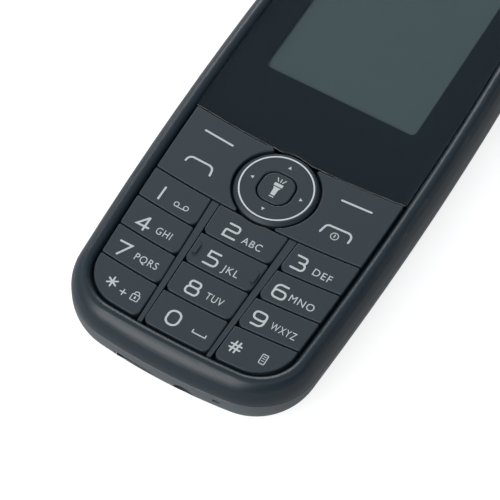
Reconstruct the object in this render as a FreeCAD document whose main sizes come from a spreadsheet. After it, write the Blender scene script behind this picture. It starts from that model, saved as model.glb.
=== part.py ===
import FreeCAD, Part
import math
import os
import Sketcher

# Bar mobile phone with a keypad, in millimetres.
# +X points to the right of the display, +Y along the phone towards the earpiece and +Z out of
# the keys. The origin is in the middle of the flat back, on which the phone lies.

# ------------------------------------------------------------------------------------------
# Driving dimensions
# ------------------------------------------------------------------------------------------

DRIVING = {
    # outer form
    "body_width": 48.0,
    "body_length": 113.6,
    "body_thickness": 13.5,
    "side_bow": 700.0,
    "end_bow": 105.0,
    "corner_radius": 11.5,
    "parting_height": 8.5,
    "seam_gap": 0.2,
    # rounded edge of the front housing, and of the rear housing
    "front_shoulder": 0.55,
    "front_wall_radius": 4.6,
    "front_crest_radius": 3.6,
    "rear_shoulder": 4.2,
    "rear_wall_radius": 9.0,
    "rear_base_radius": 3.5,
    "seam_edge": 0.2,
    # front opening that shows the window and the keys
    "side_rim": 3.5,
    "end_rim": 4.15,
    "opening_corner": 7.5,
    "opening_end_bow": 160.0,
    "lip_radius": 1.2,
    "rim_height": 0.6,
    # walls
    "front_wall": 1.6,
    "front_plate": 1.0,
    "rear_wall": 2.0,
    "tongue_thickness": 0.8,
    "tongue_height": 0.7,
    "tongue_gap": 0.1,
    "tongue_root": 1.0,
    # display window and display
    "window_thickness": 1.2,
    "window_gap": 0.08,
    "adhesive_thickness": 0.25,
    "mask_thickness": 0.05,
    "print_gap": 0.02,
    "screen_width": 29.2,
    "screen_lower_margin": 14.75,
    "screen_upper_margin": 8.75,
    "screen_corner": 1.0,
    "panel_thickness": 1.0,
    "panel_side_margin": 0.7,
    "panel_end_margin": 1.5,
    "module_width": 34.0,
    "module_border": 4.9,
    "module_gap": 0.3,
    "module_drop": 0.1,
    "ribbon_width": 16.0,
    "ribbon_length": 6.8,
    "ribbon_thickness": 0.15,
    "ribbon_rise": 0.2,
    "ribbon_foot": 1.6,
    # earpiece
    "earpiece_inset": 5.0,
    "earpiece_slot_length": 8.4,
    "earpiece_slot_width": 1.2,
    "mesh_overlap": 0.5,
    "mesh_gap": 0.3,
    "receiver_length": 12.0,
    "receiver_width": 5.6,
    "receiver_thickness": 1.75,
    "receiver_recess": 0.6,
    # rows and columns of the keypad
    "smile_radius": 180.0,
    "nav_row_gap": 0.15,
    "row_pitch": 6.3,
    "key_gap": 0.28,
    "key_frame_gap": 0.35,
    "key_thickness": 1.5,
    "key_travel": 0.35,
    "key_corner": 1.2,
    "key_small_corner": 0.3,
    "key_edge": 0.25,
    "centre_edge": 6.6,
    "centre_taper": 0.025,
    "side_edge": 8.3,
    "side_taper": 0.051,
    "stem_radius": 1.2,
    "stem_gap": 0.3,
    "stem_root": 0.2,
    "tactile_bar_width": 0.8,
    "tactile_bar_length": 2.2,
    "tactile_bar_height": 0.25,
    "tactile_bar_inset": 0.9,
    # function plates
    "plate_gap": 0.12,
    "plate_stem_x": 13.0,
    "plate_stem_spread": 3.4,
    # navigation ring and OK key
    "nav_from_end": 37.8,
    "nav_radius": 7.25,
    "nav_plate_gap": 0.45,
    "nav_window_gap": 0.2,
    "nav_window_overlap": 0.3,
    "nav_proud": 0.2,
    "nav_thickness": 1.6,
    "nav_bevel": 0.5,
    "nav_trim_inset": 0.9,
    "nav_trim_width": 0.26,
    "nav_trim_depth": 0.2,
    "nav_trim_proud": 0.03,
    "nav_stem_inset": 1.4,
    "nav_stem_radius": 0.6,
    "carrier_radius": 4.5,
    "carrier_width": 0.9,
    "carrier_thickness": 0.4,
    "carrier_gap": 0.35,
    "ok_size": 5.95,
    "ok_corner": 2.25,
    "ok_gap": 0.22,
    # keypad frame, mat, domes and lights
    "frame_thickness": 0.7,
    "frame_flange": 0.8,
    "web_drop": 0.2,
    "web_gap": 0.15,
    "mat_thickness": 0.4,
    "mat_inset": 0.4,
    "mat_gap": 0.1,
    "film_thickness": 0.1,
    "dome_radius": 2.0,
    "dome_height": 0.25,
    "dome_flat": 1.0,
    "dome_clearance": 0.05,
    "light_length": 1.6,
    "light_width": 0.8,
    "light_height": 0.35,
    "light_gap": 0.2,
    # main board
    "board_thickness": 0.8,
    "board_top": 9.0,
    "board_inset": 2.9,
    # screws and their posts
    "screw_inset": 4.6,
    "lower_screw_from_end": 52.8,
    "upper_screw_x": 13.0,
    "upper_screw_inset": 8.1,
    "screw_radius": 0.7,
    "screw_length": 5.2,
    "screw_head_radius": 1.2,
    "screw_head_height": 0.9,
    "screw_head_level": 4.4,
    "screw_play": 0.1,
    "screw_fit": 0.02,
    "post_radius": 1.9,
    "boss_radius": 1.45,
    "boss_gap": 0.1,
    # battery, its bay and the battery cover
    "battery_width": 34.0,
    "battery_lower_margin": 16.2,
    "battery_upper_margin": 44.4,
    "battery_thickness": 4.5,
    "battery_corner": 2.0,
    "battery_edge": 1.0,
    "battery_gap": 0.3,
    "bay_wall": 1.2,
    "bay_floor": 0.7,
    "cover_thickness": 1.0,
    "cover_side_inset": 3.0,
    "cover_end_inset": 5.0,
    "cover_gap": 0.1,
    "cover_tab_width": 4.0,
    "cover_tab_length": 1.0,
    "cover_tab_height": 1.0,
    "cover_tab_x": 14.0,
    "cover_upper_tab_from_end": 23.8,
    "cover_lower_tab_from_end": 11.3,
    # loudspeaker and its slots
    "speaker_width": 20.0,
    "speaker_length": 13.0,
    "speaker_thickness": 3.2,
    "speaker_from_end": 14.3,
    "grille_count": 4,
    "grille_pitch": 2.2,
    "grille_length": 9.0,
    "grille_width": 1.0,
    # sockets in the bottom end
    "usb_x": -5.5,
    "usb_z": 5.35,
    "usb_gap": 0.06,
    "usb_recess": 0.95,
    "usb_shell_width": 7.3,
    "usb_shell_height": 2.0,
    "usb_shell_wall": 0.25,
    "usb_shell_depth": 5.0,
    "usb_tongue_thickness": 0.5,
    "usb_tongue_margin": 1.3,
    "usb_play": 0.05,
    "jack_x": 4.05,
    "jack_z": 5.0,
    "jack_bore_radius": 1.7,
    "jack_nose_radius": 2.45,
    "jack_seat_gap": 0.05,
    "jack_hole_radius": 1.8,
    "jack_lip": 0.6,
    "jack_gap": 0.2,
    "jack_back_wall": 0.8,
    "jack_body_width": 6.2,
    "jack_body_height": 4.4,
    "jack_body_inset": 5.6,
    "jack_depth": 14.0,
    # microphone
    "mic_x": 10.25,
    "mic_drop": 1.45,
    "mic_hole_width": 1.4,
    "mic_hole_height": 0.85,
    "mic_inset": 3.6,
    "mic_radius": 1.0,
    "mic_thickness": 1.4,
    "mic_boot_wall": 0.25,
    # torch
    "torch_z": 4.6,
    "torch_radius": 1.9,
    "torch_play": 0.1,
    "torch_recess": 0.15,
    "torch_lens_length": 2.7,
    "torch_diode_radius": 1.4,
    "torch_diode_length": 3.2,
    "torch_gap": 0.2,
    "torch_leg_width": 1.6,
    "torch_leg_length": 1.0,
    # vibration motor
    "motor_x": -13.0,
    "motor_from_end": 10.2,
    "motor_z": 4.9,
    "motor_radius": 2.0,
    "motor_length": 7.0,
    "weight_radius": 2.1,
    "weight_length": 2.4,
    "weight_gap": 0.4,
    "weight_play": 0.05,
    "motor_shaft_radius": 0.4,
    "motor_boot_wall": 0.6,
    # parts on the back of the board
    "sim_width": 15.0,
    "sim_length": 16.0,
    "sim_spread": 8.2,
    "sim_inset": 14.4,
    "card_width": 12.0,
    "card_length": 13.0,
    "card_inset": 32.4,
    "holder_height": 1.3,
    "holder_wall": 1.2,
    "holder_cover": 0.6,
    "holder_rim": 0.5,
    "connector_width": 9.0,
    "connector_length": 3.2,
    "connector_gap": 0.4,
    "contact_pitch": 2.8,
    "contact_width": 1.0,
    "shield_height": 1.25,
    "lower_shield_width": 26.0,
    "lower_shield_length": 9.0,
    "lower_shield_from_end": 22.8,
    "upper_shield_width": 25.0,
    "upper_shield_length": 13.0,
    "upper_shield_from_end": 31.3,
    "shield_wall": 0.2,
    "antenna_width": 30.0,
    "antenna_length": 8.6,
    "antenna_thickness": 0.2,
    "antenna_track": 3.0,
    "antenna_spring": 1.0,
}

doc = FreeCAD.newDocument("BarPhone")
sheet = doc.addObject("Spreadsheet::Sheet", "Dims")
for line, (alias, value) in enumerate(DRIVING.items(), start=1):
    sheet.set(f"A{line}", alias)
    sheet.set(f"B{line}", str(value))
    sheet.setAlias(f"B{line}", alias)
bench = doc.addObject("Spreadsheet::Sheet", "Bench")
doc.recompute()


def worth(formula):
    """The number that a formula in the sheet's names comes to."""
    bench.set("A1", f"={formula}")
    bench.recompute()
    return float(bench.get("A1"))


# ------------------------------------------------------------------------------------------
# Levels and outlines, as formulas of the driving dimensions
# ------------------------------------------------------------------------------------------

HALF_WIDTH = "Dims.body_width / 2"
HALF_LENGTH = "Dims.body_length / 2"
TOP = "Dims.body_thickness"
FRONT_BASE = "(Dims.parting_height + Dims.seam_gap / 2)"
REAR_TOP = "(Dims.parting_height - Dims.seam_gap / 2)"
KEY_TOP = "(Dims.body_thickness - Dims.rim_height)"
KEY_BASE = f"({KEY_TOP} - Dims.key_thickness)"
WINDOW_BASE = f"({KEY_TOP} - Dims.window_thickness)"
MASK_BASE = f"({WINDOW_BASE} - Dims.print_gap - Dims.mask_thickness)"
SEAT = f"({MASK_BASE} - Dims.adhesive_thickness)"
PLATE_BASE = f"({SEAT} - Dims.front_plate)"
BOARD_TOP = "Dims.board_top"
BOARD_BASE = "(Dims.board_top - Dims.board_thickness)"
FILM_TOP = f"({BOARD_TOP} + Dims.film_thickness)"
STEM_END = f"({FILM_TOP} + Dims.dome_height + Dims.key_travel + Dims.dome_clearance)"
FRAME_BASE = f"({PLATE_BASE} - Dims.frame_thickness)"
BATTERY_BASE = "(Dims.cover_thickness + 2 * Dims.cover_gap)"
BAY_TOP = f"({BATTERY_BASE} + Dims.battery_thickness + Dims.cover_gap)"
# how far a cutting shape reaches past the piece that it cuts
OUTSIDE = "1"
# places along the phone, each from the end or the piece that it belongs to
NAV_Y = f"(Dims.nav_from_end - {HALF_LENGTH})"
WINDOW_EDGE = f"({NAV_Y} + Dims.nav_radius - Dims.nav_window_overlap)"
NAV_SPACE = "(Dims.nav_radius + Dims.nav_plate_gap)"
EARPIECE_Y = f"({HALF_LENGTH} - Dims.end_rim - Dims.earpiece_inset)"
SCREEN_FOOT = f"({WINDOW_EDGE} + Dims.screen_lower_margin)"
SCREEN_HEAD = f"({EARPIECE_Y} - Dims.screen_upper_margin)"
SCREEN_Y = f"(({SCREEN_FOOT} + {SCREEN_HEAD}) / 2)"
SCREEN_LENGTH = f"({SCREEN_HEAD} - {SCREEN_FOOT})"
MODULE_LENGTH = f"({SCREEN_LENGTH} + 2 * Dims.module_border)"
BATTERY_HEAD = f"({HALF_LENGTH} - Dims.battery_upper_margin)"
BATTERY_Y = "((Dims.battery_lower_margin - Dims.battery_upper_margin) / 2)"
BATTERY_LENGTH = "(Dims.body_length - Dims.battery_lower_margin - Dims.battery_upper_margin)"
SIM_Y = f"({BATTERY_HEAD} - Dims.sim_inset)"
CARD_Y = f"({BATTERY_HEAD} - Dims.card_inset)"
SPEAKER_Y = f"({HALF_LENGTH} - Dims.speaker_from_end)"
MOTOR_Y = f"(Dims.motor_from_end - {HALF_LENGTH})"
MIC_Z = f"({REAR_TOP} - Dims.mic_drop)"
LOWER_SHIELD_Y = f"(Dims.lower_shield_from_end - {HALF_LENGTH})"
UPPER_SHIELD_Y = f"({HALF_LENGTH} - Dims.upper_shield_from_end)"

# half width, half length, bow of the sides, bow of the ends, corner radius
BODY_OUTLINE = (HALF_WIDTH, HALF_LENGTH, "Dims.side_bow", "Dims.end_bow", "Dims.corner_radius")
OPENING_OUTLINE = (
    f"({HALF_WIDTH} - Dims.side_rim)",
    f"({HALF_LENGTH} - Dims.end_rim)",
    "(Dims.side_bow - Dims.side_rim)",
    "Dims.opening_end_bow",
    "Dims.opening_corner",
)
COVER_OUTLINE = (
    f"({HALF_WIDTH} - Dims.cover_side_inset)",
    f"({HALF_LENGTH} - Dims.cover_end_inset)",
    "(Dims.side_bow - Dims.cover_side_inset)",
    "(Dims.end_bow - Dims.cover_end_inset)",
    "(Dims.corner_radius - Dims.cover_side_inset)",
)


# ------------------------------------------------------------------------------------------
# Sketches
# ------------------------------------------------------------------------------------------

def new_body(name):
    """An empty body whose label is the node's name."""
    body = doc.addObject("PartDesign::Body", name)
    body.Label = name
    return body


def new_sketch(body, name, level="0", role="XY_Plane"):
    """A sketch on one of the body's own origin planes, raised to a level."""
    sketch = body.newObject("Sketcher::SketchObject", name)
    plane = next(item for item in body.Origin.OriginFeatures if item.Role == role)
    sketch.AttachmentSupport = [(plane, "")]
    sketch.MapMode = "FlatFace"
    sketch.setExpression("AttachmentOffset.Base.z", level)
    return sketch


def constrain(sketch, rules):
    """Adds constraints; a rule that ends in a formula is bound to it."""
    made = []
    for rule in rules:
        has_formula = isinstance(rule[-1], str)
        made.append(Sketcher.Constraint(*rule[:-1], worth(rule[-1])) if has_formula
                    else Sketcher.Constraint(*rule))
    first = sketch.ConstraintCount
    sketch.addConstraint(made)
    for index, rule in enumerate(rules):
        if isinstance(rule[-1], str):
            sketch.setExpression(f"Constraints[{first + index}]", rule[-1])


def add_arc(sketch, centre, radius, start, end):
    """Adds an arc that runs anticlockwise from start to end, in radians."""
    circle = Part.Circle(FreeCAD.Vector(*centre, 0), FreeCAD.Vector(0, 0, 1), radius)
    return sketch.addGeometry(Part.ArcOfCircle(circle, start, end))


def add_line(sketch, start, end):
    return sketch.addGeometry(
        Part.LineSegment(FreeCAD.Vector(*start, 0), FreeCAD.Vector(*end, 0)))


def bearing(centre, point):
    return math.atan2(point[1] - centre[1], point[0] - centre[0])


def crossing(centre_a, radius_a, centre_b, radius_b, near):
    """The point where two circles cross that lies nearest to a given point."""
    gap_x = centre_b[0] - centre_a[0]
    gap_y = centre_b[1] - centre_a[1]
    gap = math.hypot(gap_x, gap_y)
    along = (radius_a ** 2 - radius_b ** 2 + gap ** 2) / (2 * gap)
    across = math.sqrt(radius_a ** 2 - along ** 2)
    foot = (centre_a[0] + along * gap_x / gap, centre_a[1] + along * gap_y / gap)
    found = [(foot[0] - turn * across * gap_y / gap, foot[1] + turn * across * gap_x / gap)
             for turn in (1, -1)]
    return min(found, key=lambda point: math.dist(point, near))


def outline_circles(outline, inset):
    """Centres and radii of the side, end and corner arcs in the +X +Y quarter."""
    half_width, half_length, side_bow, end_bow, corner = (worth(item) for item in outline)
    side = (half_width - side_bow, 0.0)
    end = (0.0, half_length - end_bow)
    middle = crossing(side, side_bow - corner, end, end_bow - corner, (half_width, half_length))
    step = worth(inset)
    return side, side_bow - step, end, end_bow - step, middle, corner - step


def bowed_outline(sketch, outline, inset="0"):
    """Draws a rounded rectangle with bowed sides and ends, its first point on the X axis.

    Nine arcs: the right side's upper half, four corners, the top end, the left side, the
    bottom end, and the right side's lower half.
    """
    side, side_radius, end, end_radius, corner, corner_radius = outline_circles(outline, inset)
    lean = bearing(side, corner)
    rise = bearing(end, corner)
    whole = 2 * math.pi
    add_arc(sketch, side, side_radius, 0, lean)
    add_arc(sketch, corner, corner_radius, lean, rise)
    add_arc(sketch, end, end_radius, rise, math.pi - rise)
    add_arc(sketch, (-corner[0], corner[1]), corner_radius, math.pi - rise, math.pi - lean)
    add_arc(sketch, (-side[0], 0), side_radius, math.pi - lean, math.pi + lean)
    add_arc(sketch, (-corner[0], -corner[1]), corner_radius, math.pi + lean, math.pi + rise)
    add_arc(sketch, (0, -end[1]), end_radius, math.pi + rise, whole - rise)
    add_arc(sketch, (corner[0], -corner[1]), corner_radius, whole - rise, whole - lean)
    add_arc(sketch, side, side_radius, -lean, 0)
    half_width, half_length, side_bow, end_bow, corner_size = outline
    rules = [("Tangent", arc, 2, arc + 1, 1) for arc in range(8)]
    rules += [
        ("Coincident", 8, 2, 0, 1),
        ("Coincident", 8, 3, 0, 3),
        ("PointOnObject", 0, 1, -1),
        ("PointOnObject", 0, 3, -1),
        ("PointOnObject", 4, 3, -1),
        ("PointOnObject", 2, 3, -2),
        ("PointOnObject", 6, 3, -2),
        ("DistanceX", 0, 3, -1, 1, f"{side_bow} - {half_width}"),
        ("DistanceX", -1, 1, 4, 3, f"{side_bow} - {half_width}"),
        ("DistanceY", 2, 3, -1, 1, f"{end_bow} - {half_length}"),
        ("DistanceY", -1, 1, 6, 3, f"{end_bow} - {half_length}"),
        ("Radius", 0, f"{side_bow} - {inset}"),
        ("Radius", 4, f"{side_bow} - {inset}"),
        ("Radius", 2, f"{end_bow} - {inset}"),
        ("Radius", 6, f"{end_bow} - {inset}"),
    ]
    rules += [("Radius", arc, f"{corner_size} - {inset}") for arc in (1, 3, 5, 7)]
    constrain(sketch, rules)


def smile_centre(line):
    """Centre of the arc that dips to a line's level on the phone's middle plane."""
    return (0.0, worth(f"{line} + Dims.smile_radius"))


def part_outline(sketch, outline, inset, line, upper):
    """Draws the part of a bowed outline above or below a smile line.

    Six arcs: the smile, a side, a corner, the end, a corner and the other side. Below the
    line the arcs are taken in the mirrored order, so that the chain always closes.
    """
    side, side_radius, end, end_radius, corner, corner_radius = outline_circles(outline, inset)
    smile = smile_centre(line)
    bow = worth("Dims.smile_radius")
    meet = crossing(side, side_radius, smile, bow, (side[0] + side_radius, worth(line)))
    lean = bearing(side, corner)
    rise = bearing(end, corner)
    start = bearing(side, meet)
    dip = bearing(smile, meet)
    add_arc(sketch, smile, bow, -math.pi - dip, dip)
    if upper:
        add_arc(sketch, side, side_radius, start, lean)
        add_arc(sketch, corner, corner_radius, lean, rise)
        add_arc(sketch, end, end_radius, rise, math.pi - rise)
        add_arc(sketch, (-corner[0], corner[1]), corner_radius, math.pi - rise, math.pi - lean)
        add_arc(sketch, (-side[0], 0), side_radius, math.pi - lean, math.pi - start)
        joints = [("Tangent", arc, 2, arc + 1, 1) for arc in (1, 2, 3, 4)]
        joints += [("Coincident", 0, 2, 1, 1), ("Coincident", 5, 2, 0, 1)]
    else:
        add_arc(sketch, side, side_radius, -lean, start)
        add_arc(sketch, (corner[0], -corner[1]), corner_radius, -rise, -lean)
        add_arc(sketch, (0, -end[1]), end_radius, rise - math.pi, -rise)
        add_arc(sketch, (-corner[0], -corner[1]), corner_radius, lean - math.pi, rise - math.pi)
        add_arc(sketch, (-side[0], 0), side_radius, -math.pi - start, lean - math.pi)
        joints = [("Tangent", arc, 1, arc + 1, 2) for arc in (1, 2, 3, 4)]
        joints += [("Coincident", 0, 2, 1, 2), ("Coincident", 5, 1, 0, 1)]
    half_width, half_length, side_bow, end_bow, corner_size = outline
    end_points = (3, 3, -1, 1) if upper else (-1, 1, 3, 3)
    constrain(sketch, joints + [
        ("PointOnObject", 0, 3, -2),
        ("PointOnObject", 3, 3, -2),
        ("PointOnObject", 1, 3, -1),
        ("PointOnObject", 5, 3, -1),
        ("DistanceY", -1, 1, 0, 3, f"{line} + Dims.smile_radius"),
        ("DistanceX", 1, 3, -1, 1, f"{side_bow} - {half_width}"),
        ("DistanceX", -1, 1, 5, 3, f"{side_bow} - {half_width}"),
        ("DistanceY", *end_points, f"{end_bow} - {half_length}"),
        ("Radius", 0, "Dims.smile_radius"),
        ("Radius", 1, f"{side_bow} - {inset}"),
        ("Radius", 5, f"{side_bow} - {inset}"),
        ("Radius", 3, f"{end_bow} - {inset}"),
        ("Radius", 2, f"{corner_size} - {inset}"),
        ("Radius", 4, f"{corner_size} - {inset}"),
    ])


def add_circle(sketch, x, y, radius):
    """Adds a circle whose centre and radius follow formulas."""
    centre = FreeCAD.Vector(worth(x), worth(y), 0)
    circle = sketch.addGeometry(Part.Circle(centre, FreeCAD.Vector(0, 0, 1), worth(radius)))
    constrain(sketch, [
        ("DistanceX", -1, 1, circle, 3, x),
        ("DistanceY", -1, 1, circle, 3, y),
        ("Radius", circle, radius),
    ])


def add_rectangle(sketch, x, y, width, length, corner=None):
    """Adds a rectangle about a middle point, with rounded corners if a radius is given."""
    middle_x, middle_y = worth(x), worth(y)
    half_x, half_y = worth(width) / 2, worth(length) / 2
    first = sketch.GeometryCount
    if corner is None:
        corners = [(middle_x + i * half_x, middle_y + j * half_y)
                   for i, j in ((-1, -1), (1, -1), (1, 1), (-1, 1))]
        for index in range(4):
            add_line(sketch, corners[index], corners[(index + 1) % 4])
        lines = [first, first + 1, first + 2, first + 3]
        joints = [("Coincident", lines[i], 2, lines[(i + 1) % 4], 1) for i in range(4)]
        joints += [("Horizontal", lines[2]), ("Vertical", lines[1]), ("Vertical", lines[3])]
    else:
        round_size = worth(corner)
        for index, (i, j) in enumerate(((-1, -1), (1, -1), (1, 1), (-1, 1))):
            pivot = (middle_x + i * (half_x - round_size), middle_y + j * (half_y - round_size))
            start = math.pi * (1 + index / 2)
            add_arc(sketch, pivot, round_size, start, start + math.pi / 2)
            leave = start + math.pi / 2
            run = 2 * (half_x if index % 2 == 0 else half_y) - 2 * round_size
            ahead = (-math.sin(leave), math.cos(leave))
            edge = (pivot[0] + round_size * math.cos(leave),
                    pivot[1] + round_size * math.sin(leave))
            add_line(sketch, edge, (edge[0] + run * ahead[0], edge[1] + run * ahead[1]))
        lines = [first + 1, first + 3, first + 5, first + 7]
        joints = [("Tangent", first + i, 2, first + (i + 1) % 8, 1) for i in range(8)]
        joints += [("Equal", first, first + 2 * i) for i in (1, 2, 3)]
        joints.append(("Radius", first, corner))
    constrain(sketch, joints + [
        ("Horizontal", lines[0]),
        ("DistanceX", -1, 1, lines[1], 1, f"{x} + ({width}) / 2"),
        ("DistanceX", -1, 1, lines[3], 1, f"{x} - ({width}) / 2"),
        ("DistanceY", -1, 1, lines[0], 1, f"{y} - ({length}) / 2"),
        ("DistanceY", -1, 1, lines[2], 1, f"{y} + ({length}) / 2"),
    ])


def slot_end(width):
    """Corner radius that makes the ends of a slot round."""
    return f"({width}) * 0.49"


# ------------------------------------------------------------------------------------------
# Features
# ------------------------------------------------------------------------------------------

def pad(body, sketch, length, down=False):
    feature = body.newObject("PartDesign::Pad", f"{sketch.Name}Pad")
    feature.Profile = sketch
    feature.Reversed = down
    feature.setExpression("Length", length)
    doc.recompute()
    return feature


def pocket(body, sketch, depth, up=False):
    """Cuts downwards from the sketch, or upwards, and checks that something was cut."""
    before = body.Shape.Volume
    feature = body.newObject("PartDesign::Pocket", f"{sketch.Name}Pocket")
    feature.Profile = sketch
    feature.Reversed = up
    feature.setExpression("Length", depth)
    doc.recompute()
    if not feature.Shape.Volume < before:
        raise RuntimeError(f"{feature.Name} cuts nothing")
    return feature


def fillet(body, chosen, radius, kind="Fillet"):
    """Rounds the edges of the body's last feature for which chosen(edge) is true."""
    base = body.Tip
    names = [f"Edge{index}" for index, edge in enumerate(base.Shape.Edges, start=1)
             if chosen(edge)]
    feature = body.newObject(f"PartDesign::{kind}", f"{body.Name}Round")
    feature.Base = (base, names)
    feature.setExpression("Radius" if kind == "Fillet" else "Size", radius)
    doc.recompute()
    return feature


def is_upright(edge):
    """True for a straight edge along Z."""
    if len(edge.Vertexes) != 2:
        return False
    start, end = (vertex.Point for vertex in edge.Vertexes)
    return math.hypot(start.x - end.x, start.y - end.y) < 1e-6


def lies_at(edge, level):
    """True for an edge that lies wholly at one height."""
    bounds = edge.BoundBox
    return abs(bounds.ZMin - level) < 1e-3 and abs(bounds.ZMax - level) < 1e-3


def lies_within(edge, half_width, half_length):
    """True for an edge inside a rectangle about the phone's middle."""
    bounds = edge.BoundBox
    return (max(-bounds.XMin, bounds.XMax) < half_width
            and max(-bounds.YMin, bounds.YMax) < half_length)


def is_corner(shape, edge):
    """True for an upright edge where two faces meet at more than 30 degrees."""
    if not is_upright(edge):
        return False
    point = edge.valueAt((edge.FirstParameter + edge.LastParameter) / 2)
    normals = [face.normalAt(*face.Surface.parameter(point))
               for face in shape.ancestorsOfType(edge, Part.Face)]
    return math.degrees(normals[0].getAngle(normals[1])) > 30


def round_over(body, path, inset, wall_level, face_level, wall_radius, face_radius, upward):
    """Sweeps a two-arc edge round a bowed outline and cuts what lies outside it.

    The first arc leaves the upright wall at wall_level, the second meets the flat face at
    face_level. Both centres stay put as the inset grows, so that walls keep their thickness.
    """
    sense = 1 if upward else -1
    wall = (worth(f"{HALF_WIDTH} - {wall_radius}"), worth(wall_level))
    big_wall, big_face, step = worth(wall_radius), worth(face_radius), worth(inset)
    face_y = worth(face_level) - sense * big_face
    reach = math.sqrt((big_wall - big_face) ** 2 - (face_y - wall[1]) ** 2)
    face = (wall[0] + (reach if big_wall > big_face else -reach), face_y)
    large, small = (wall, face) if big_wall > big_face else (face, wall)
    turn = bearing(large, small)
    upright = sense * math.pi / 2
    profile = new_sketch(body, f"{body.Name}Edge", role="XZ_Plane")
    spans = [(wall, big_wall - step, 0.0, turn), (face, big_face - step, turn, upright)]
    for centre, radius, start, end in spans:
        add_arc(profile, centre, radius, min(start, end), max(start, end))
    first, last = (1, 2) if upward else (2, 1)
    margin = 1.0
    edge = worth(f"{HALF_WIDTH} - {inset}")
    level = worth(face_level) - sense * step
    points = [(face[0], level), (face[0], level + sense * margin),
              (edge + margin, level + sense * margin), (edge + margin, wall[1]),
              (edge, wall[1])]
    for start, end in zip(points, points[1:]):
        add_line(profile, start, end)
    constrain(profile, [
        ("Tangent", 0, last, 1, first),
        ("Horizontal", 0, first, 0, 3),
        ("Vertical", 1, last, 1, 3),
        ("Coincident", 1, last, 2, 1),
        ("Coincident", 2, 2, 3, 1),
        ("Coincident", 3, 2, 4, 1),
        ("Coincident", 4, 2, 5, 1),
        ("Coincident", 5, 2, 0, first),
        ("Vertical", 2),
        ("Horizontal", 3),
        ("Vertical", 4),
        ("Horizontal", 5),
        ("Distance", 2, margin),
        ("Distance", 5, margin),
        ("DistanceX", -1, 1, 0, 3, f"{HALF_WIDTH} - {wall_radius}"),
        ("DistanceY", -1, 1, 0, 3, wall_level),
        ("DistanceY", -1, 1, 1, 3, f"{face_level} - {sense} * {face_radius}"),
        ("Radius", 0, f"{wall_radius} - {inset}"),
        ("Radius", 1, f"{face_radius} - {inset}"),
    ])
    before = body.Shape.Volume
    feature = body.newObject("PartDesign::SubtractivePipe", f"{body.Name}RoundOver")
    feature.Profile = profile
    feature.Spine = (path, [])
    doc.recompute()
    if not feature.Shape.Volume < before:
        raise RuntimeError(f"{feature.Name} cuts nothing")
    return feature


# ------------------------------------------------------------------------------------------
# Primitives and booleans
# ------------------------------------------------------------------------------------------

def place(item, x, y, z, rotation=None):
    if rotation is not None:
        item.Placement = FreeCAD.Placement(FreeCAD.Vector(), rotation)
    for axis, formula in zip("xyz", (x, y, z)):
        item.setExpression(f"Placement.Base.{axis}", formula)
    return item


def box(name, x, y, z, width, length, height):
    """A box that stands on level z, its footprint centred on x, y."""
    item = doc.addObject("Part::Box", name)
    for key, formula in (("Length", width), ("Width", length), ("Height", height)):
        item.setExpression(key, formula)
    return place(item, f"{x} - ({width}) / 2", f"{y} - ({length}) / 2", z)


ALONG_X = FreeCAD.Rotation(FreeCAD.Vector(0, 1, 0), 90)
ALONG_Y = FreeCAD.Rotation(FreeCAD.Vector(1, 0, 0), -90)


def cylinder(name, x, y, z, radius, height, rotation=None):
    """A cylinder that starts at a point and runs along Z, or along a turned axis."""
    item = doc.addObject("Part::Cylinder", name)
    item.setExpression("Radius", radius)
    item.setExpression("Height", height)
    return place(item, x, y, z, rotation)


def fuse(name, *items):
    item = doc.addObject("Part::MultiFuse", name)
    item.Shapes = list(items)
    return item


def common(name, *items):
    item = doc.addObject("Part::MultiCommon", name)
    item.Shapes = list(items)
    return item


def cut(name, base, *tools):
    item = doc.addObject("Part::Cut", name)
    item.Base = base
    item.Tool = tools[0] if len(tools) == 1 else fuse(f"{name}_tools", *tools)
    return item


def group(name, items):
    """Like pieces that share one node, as separate solids."""
    item = doc.addObject("Part::Compound", name)
    item.Links = list(items)
    return item


# ------------------------------------------------------------------------------------------
# Front housing
# ------------------------------------------------------------------------------------------

def screw_places():
    """The four screw axes: two beside the display's foot, two near the earpiece."""
    lower_x = f"({HALF_WIDTH} - Dims.screw_inset)"
    lower_y = f"(Dims.lower_screw_from_end - {HALF_LENGTH})"
    upper_y = f"({HALF_LENGTH} - Dims.upper_screw_inset)"
    return [(f"{side} * {x}", y) for side in (1, -1)
            for x, y in ((lower_x, lower_y), ("Dims.upper_screw_x", upper_y))]


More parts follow.
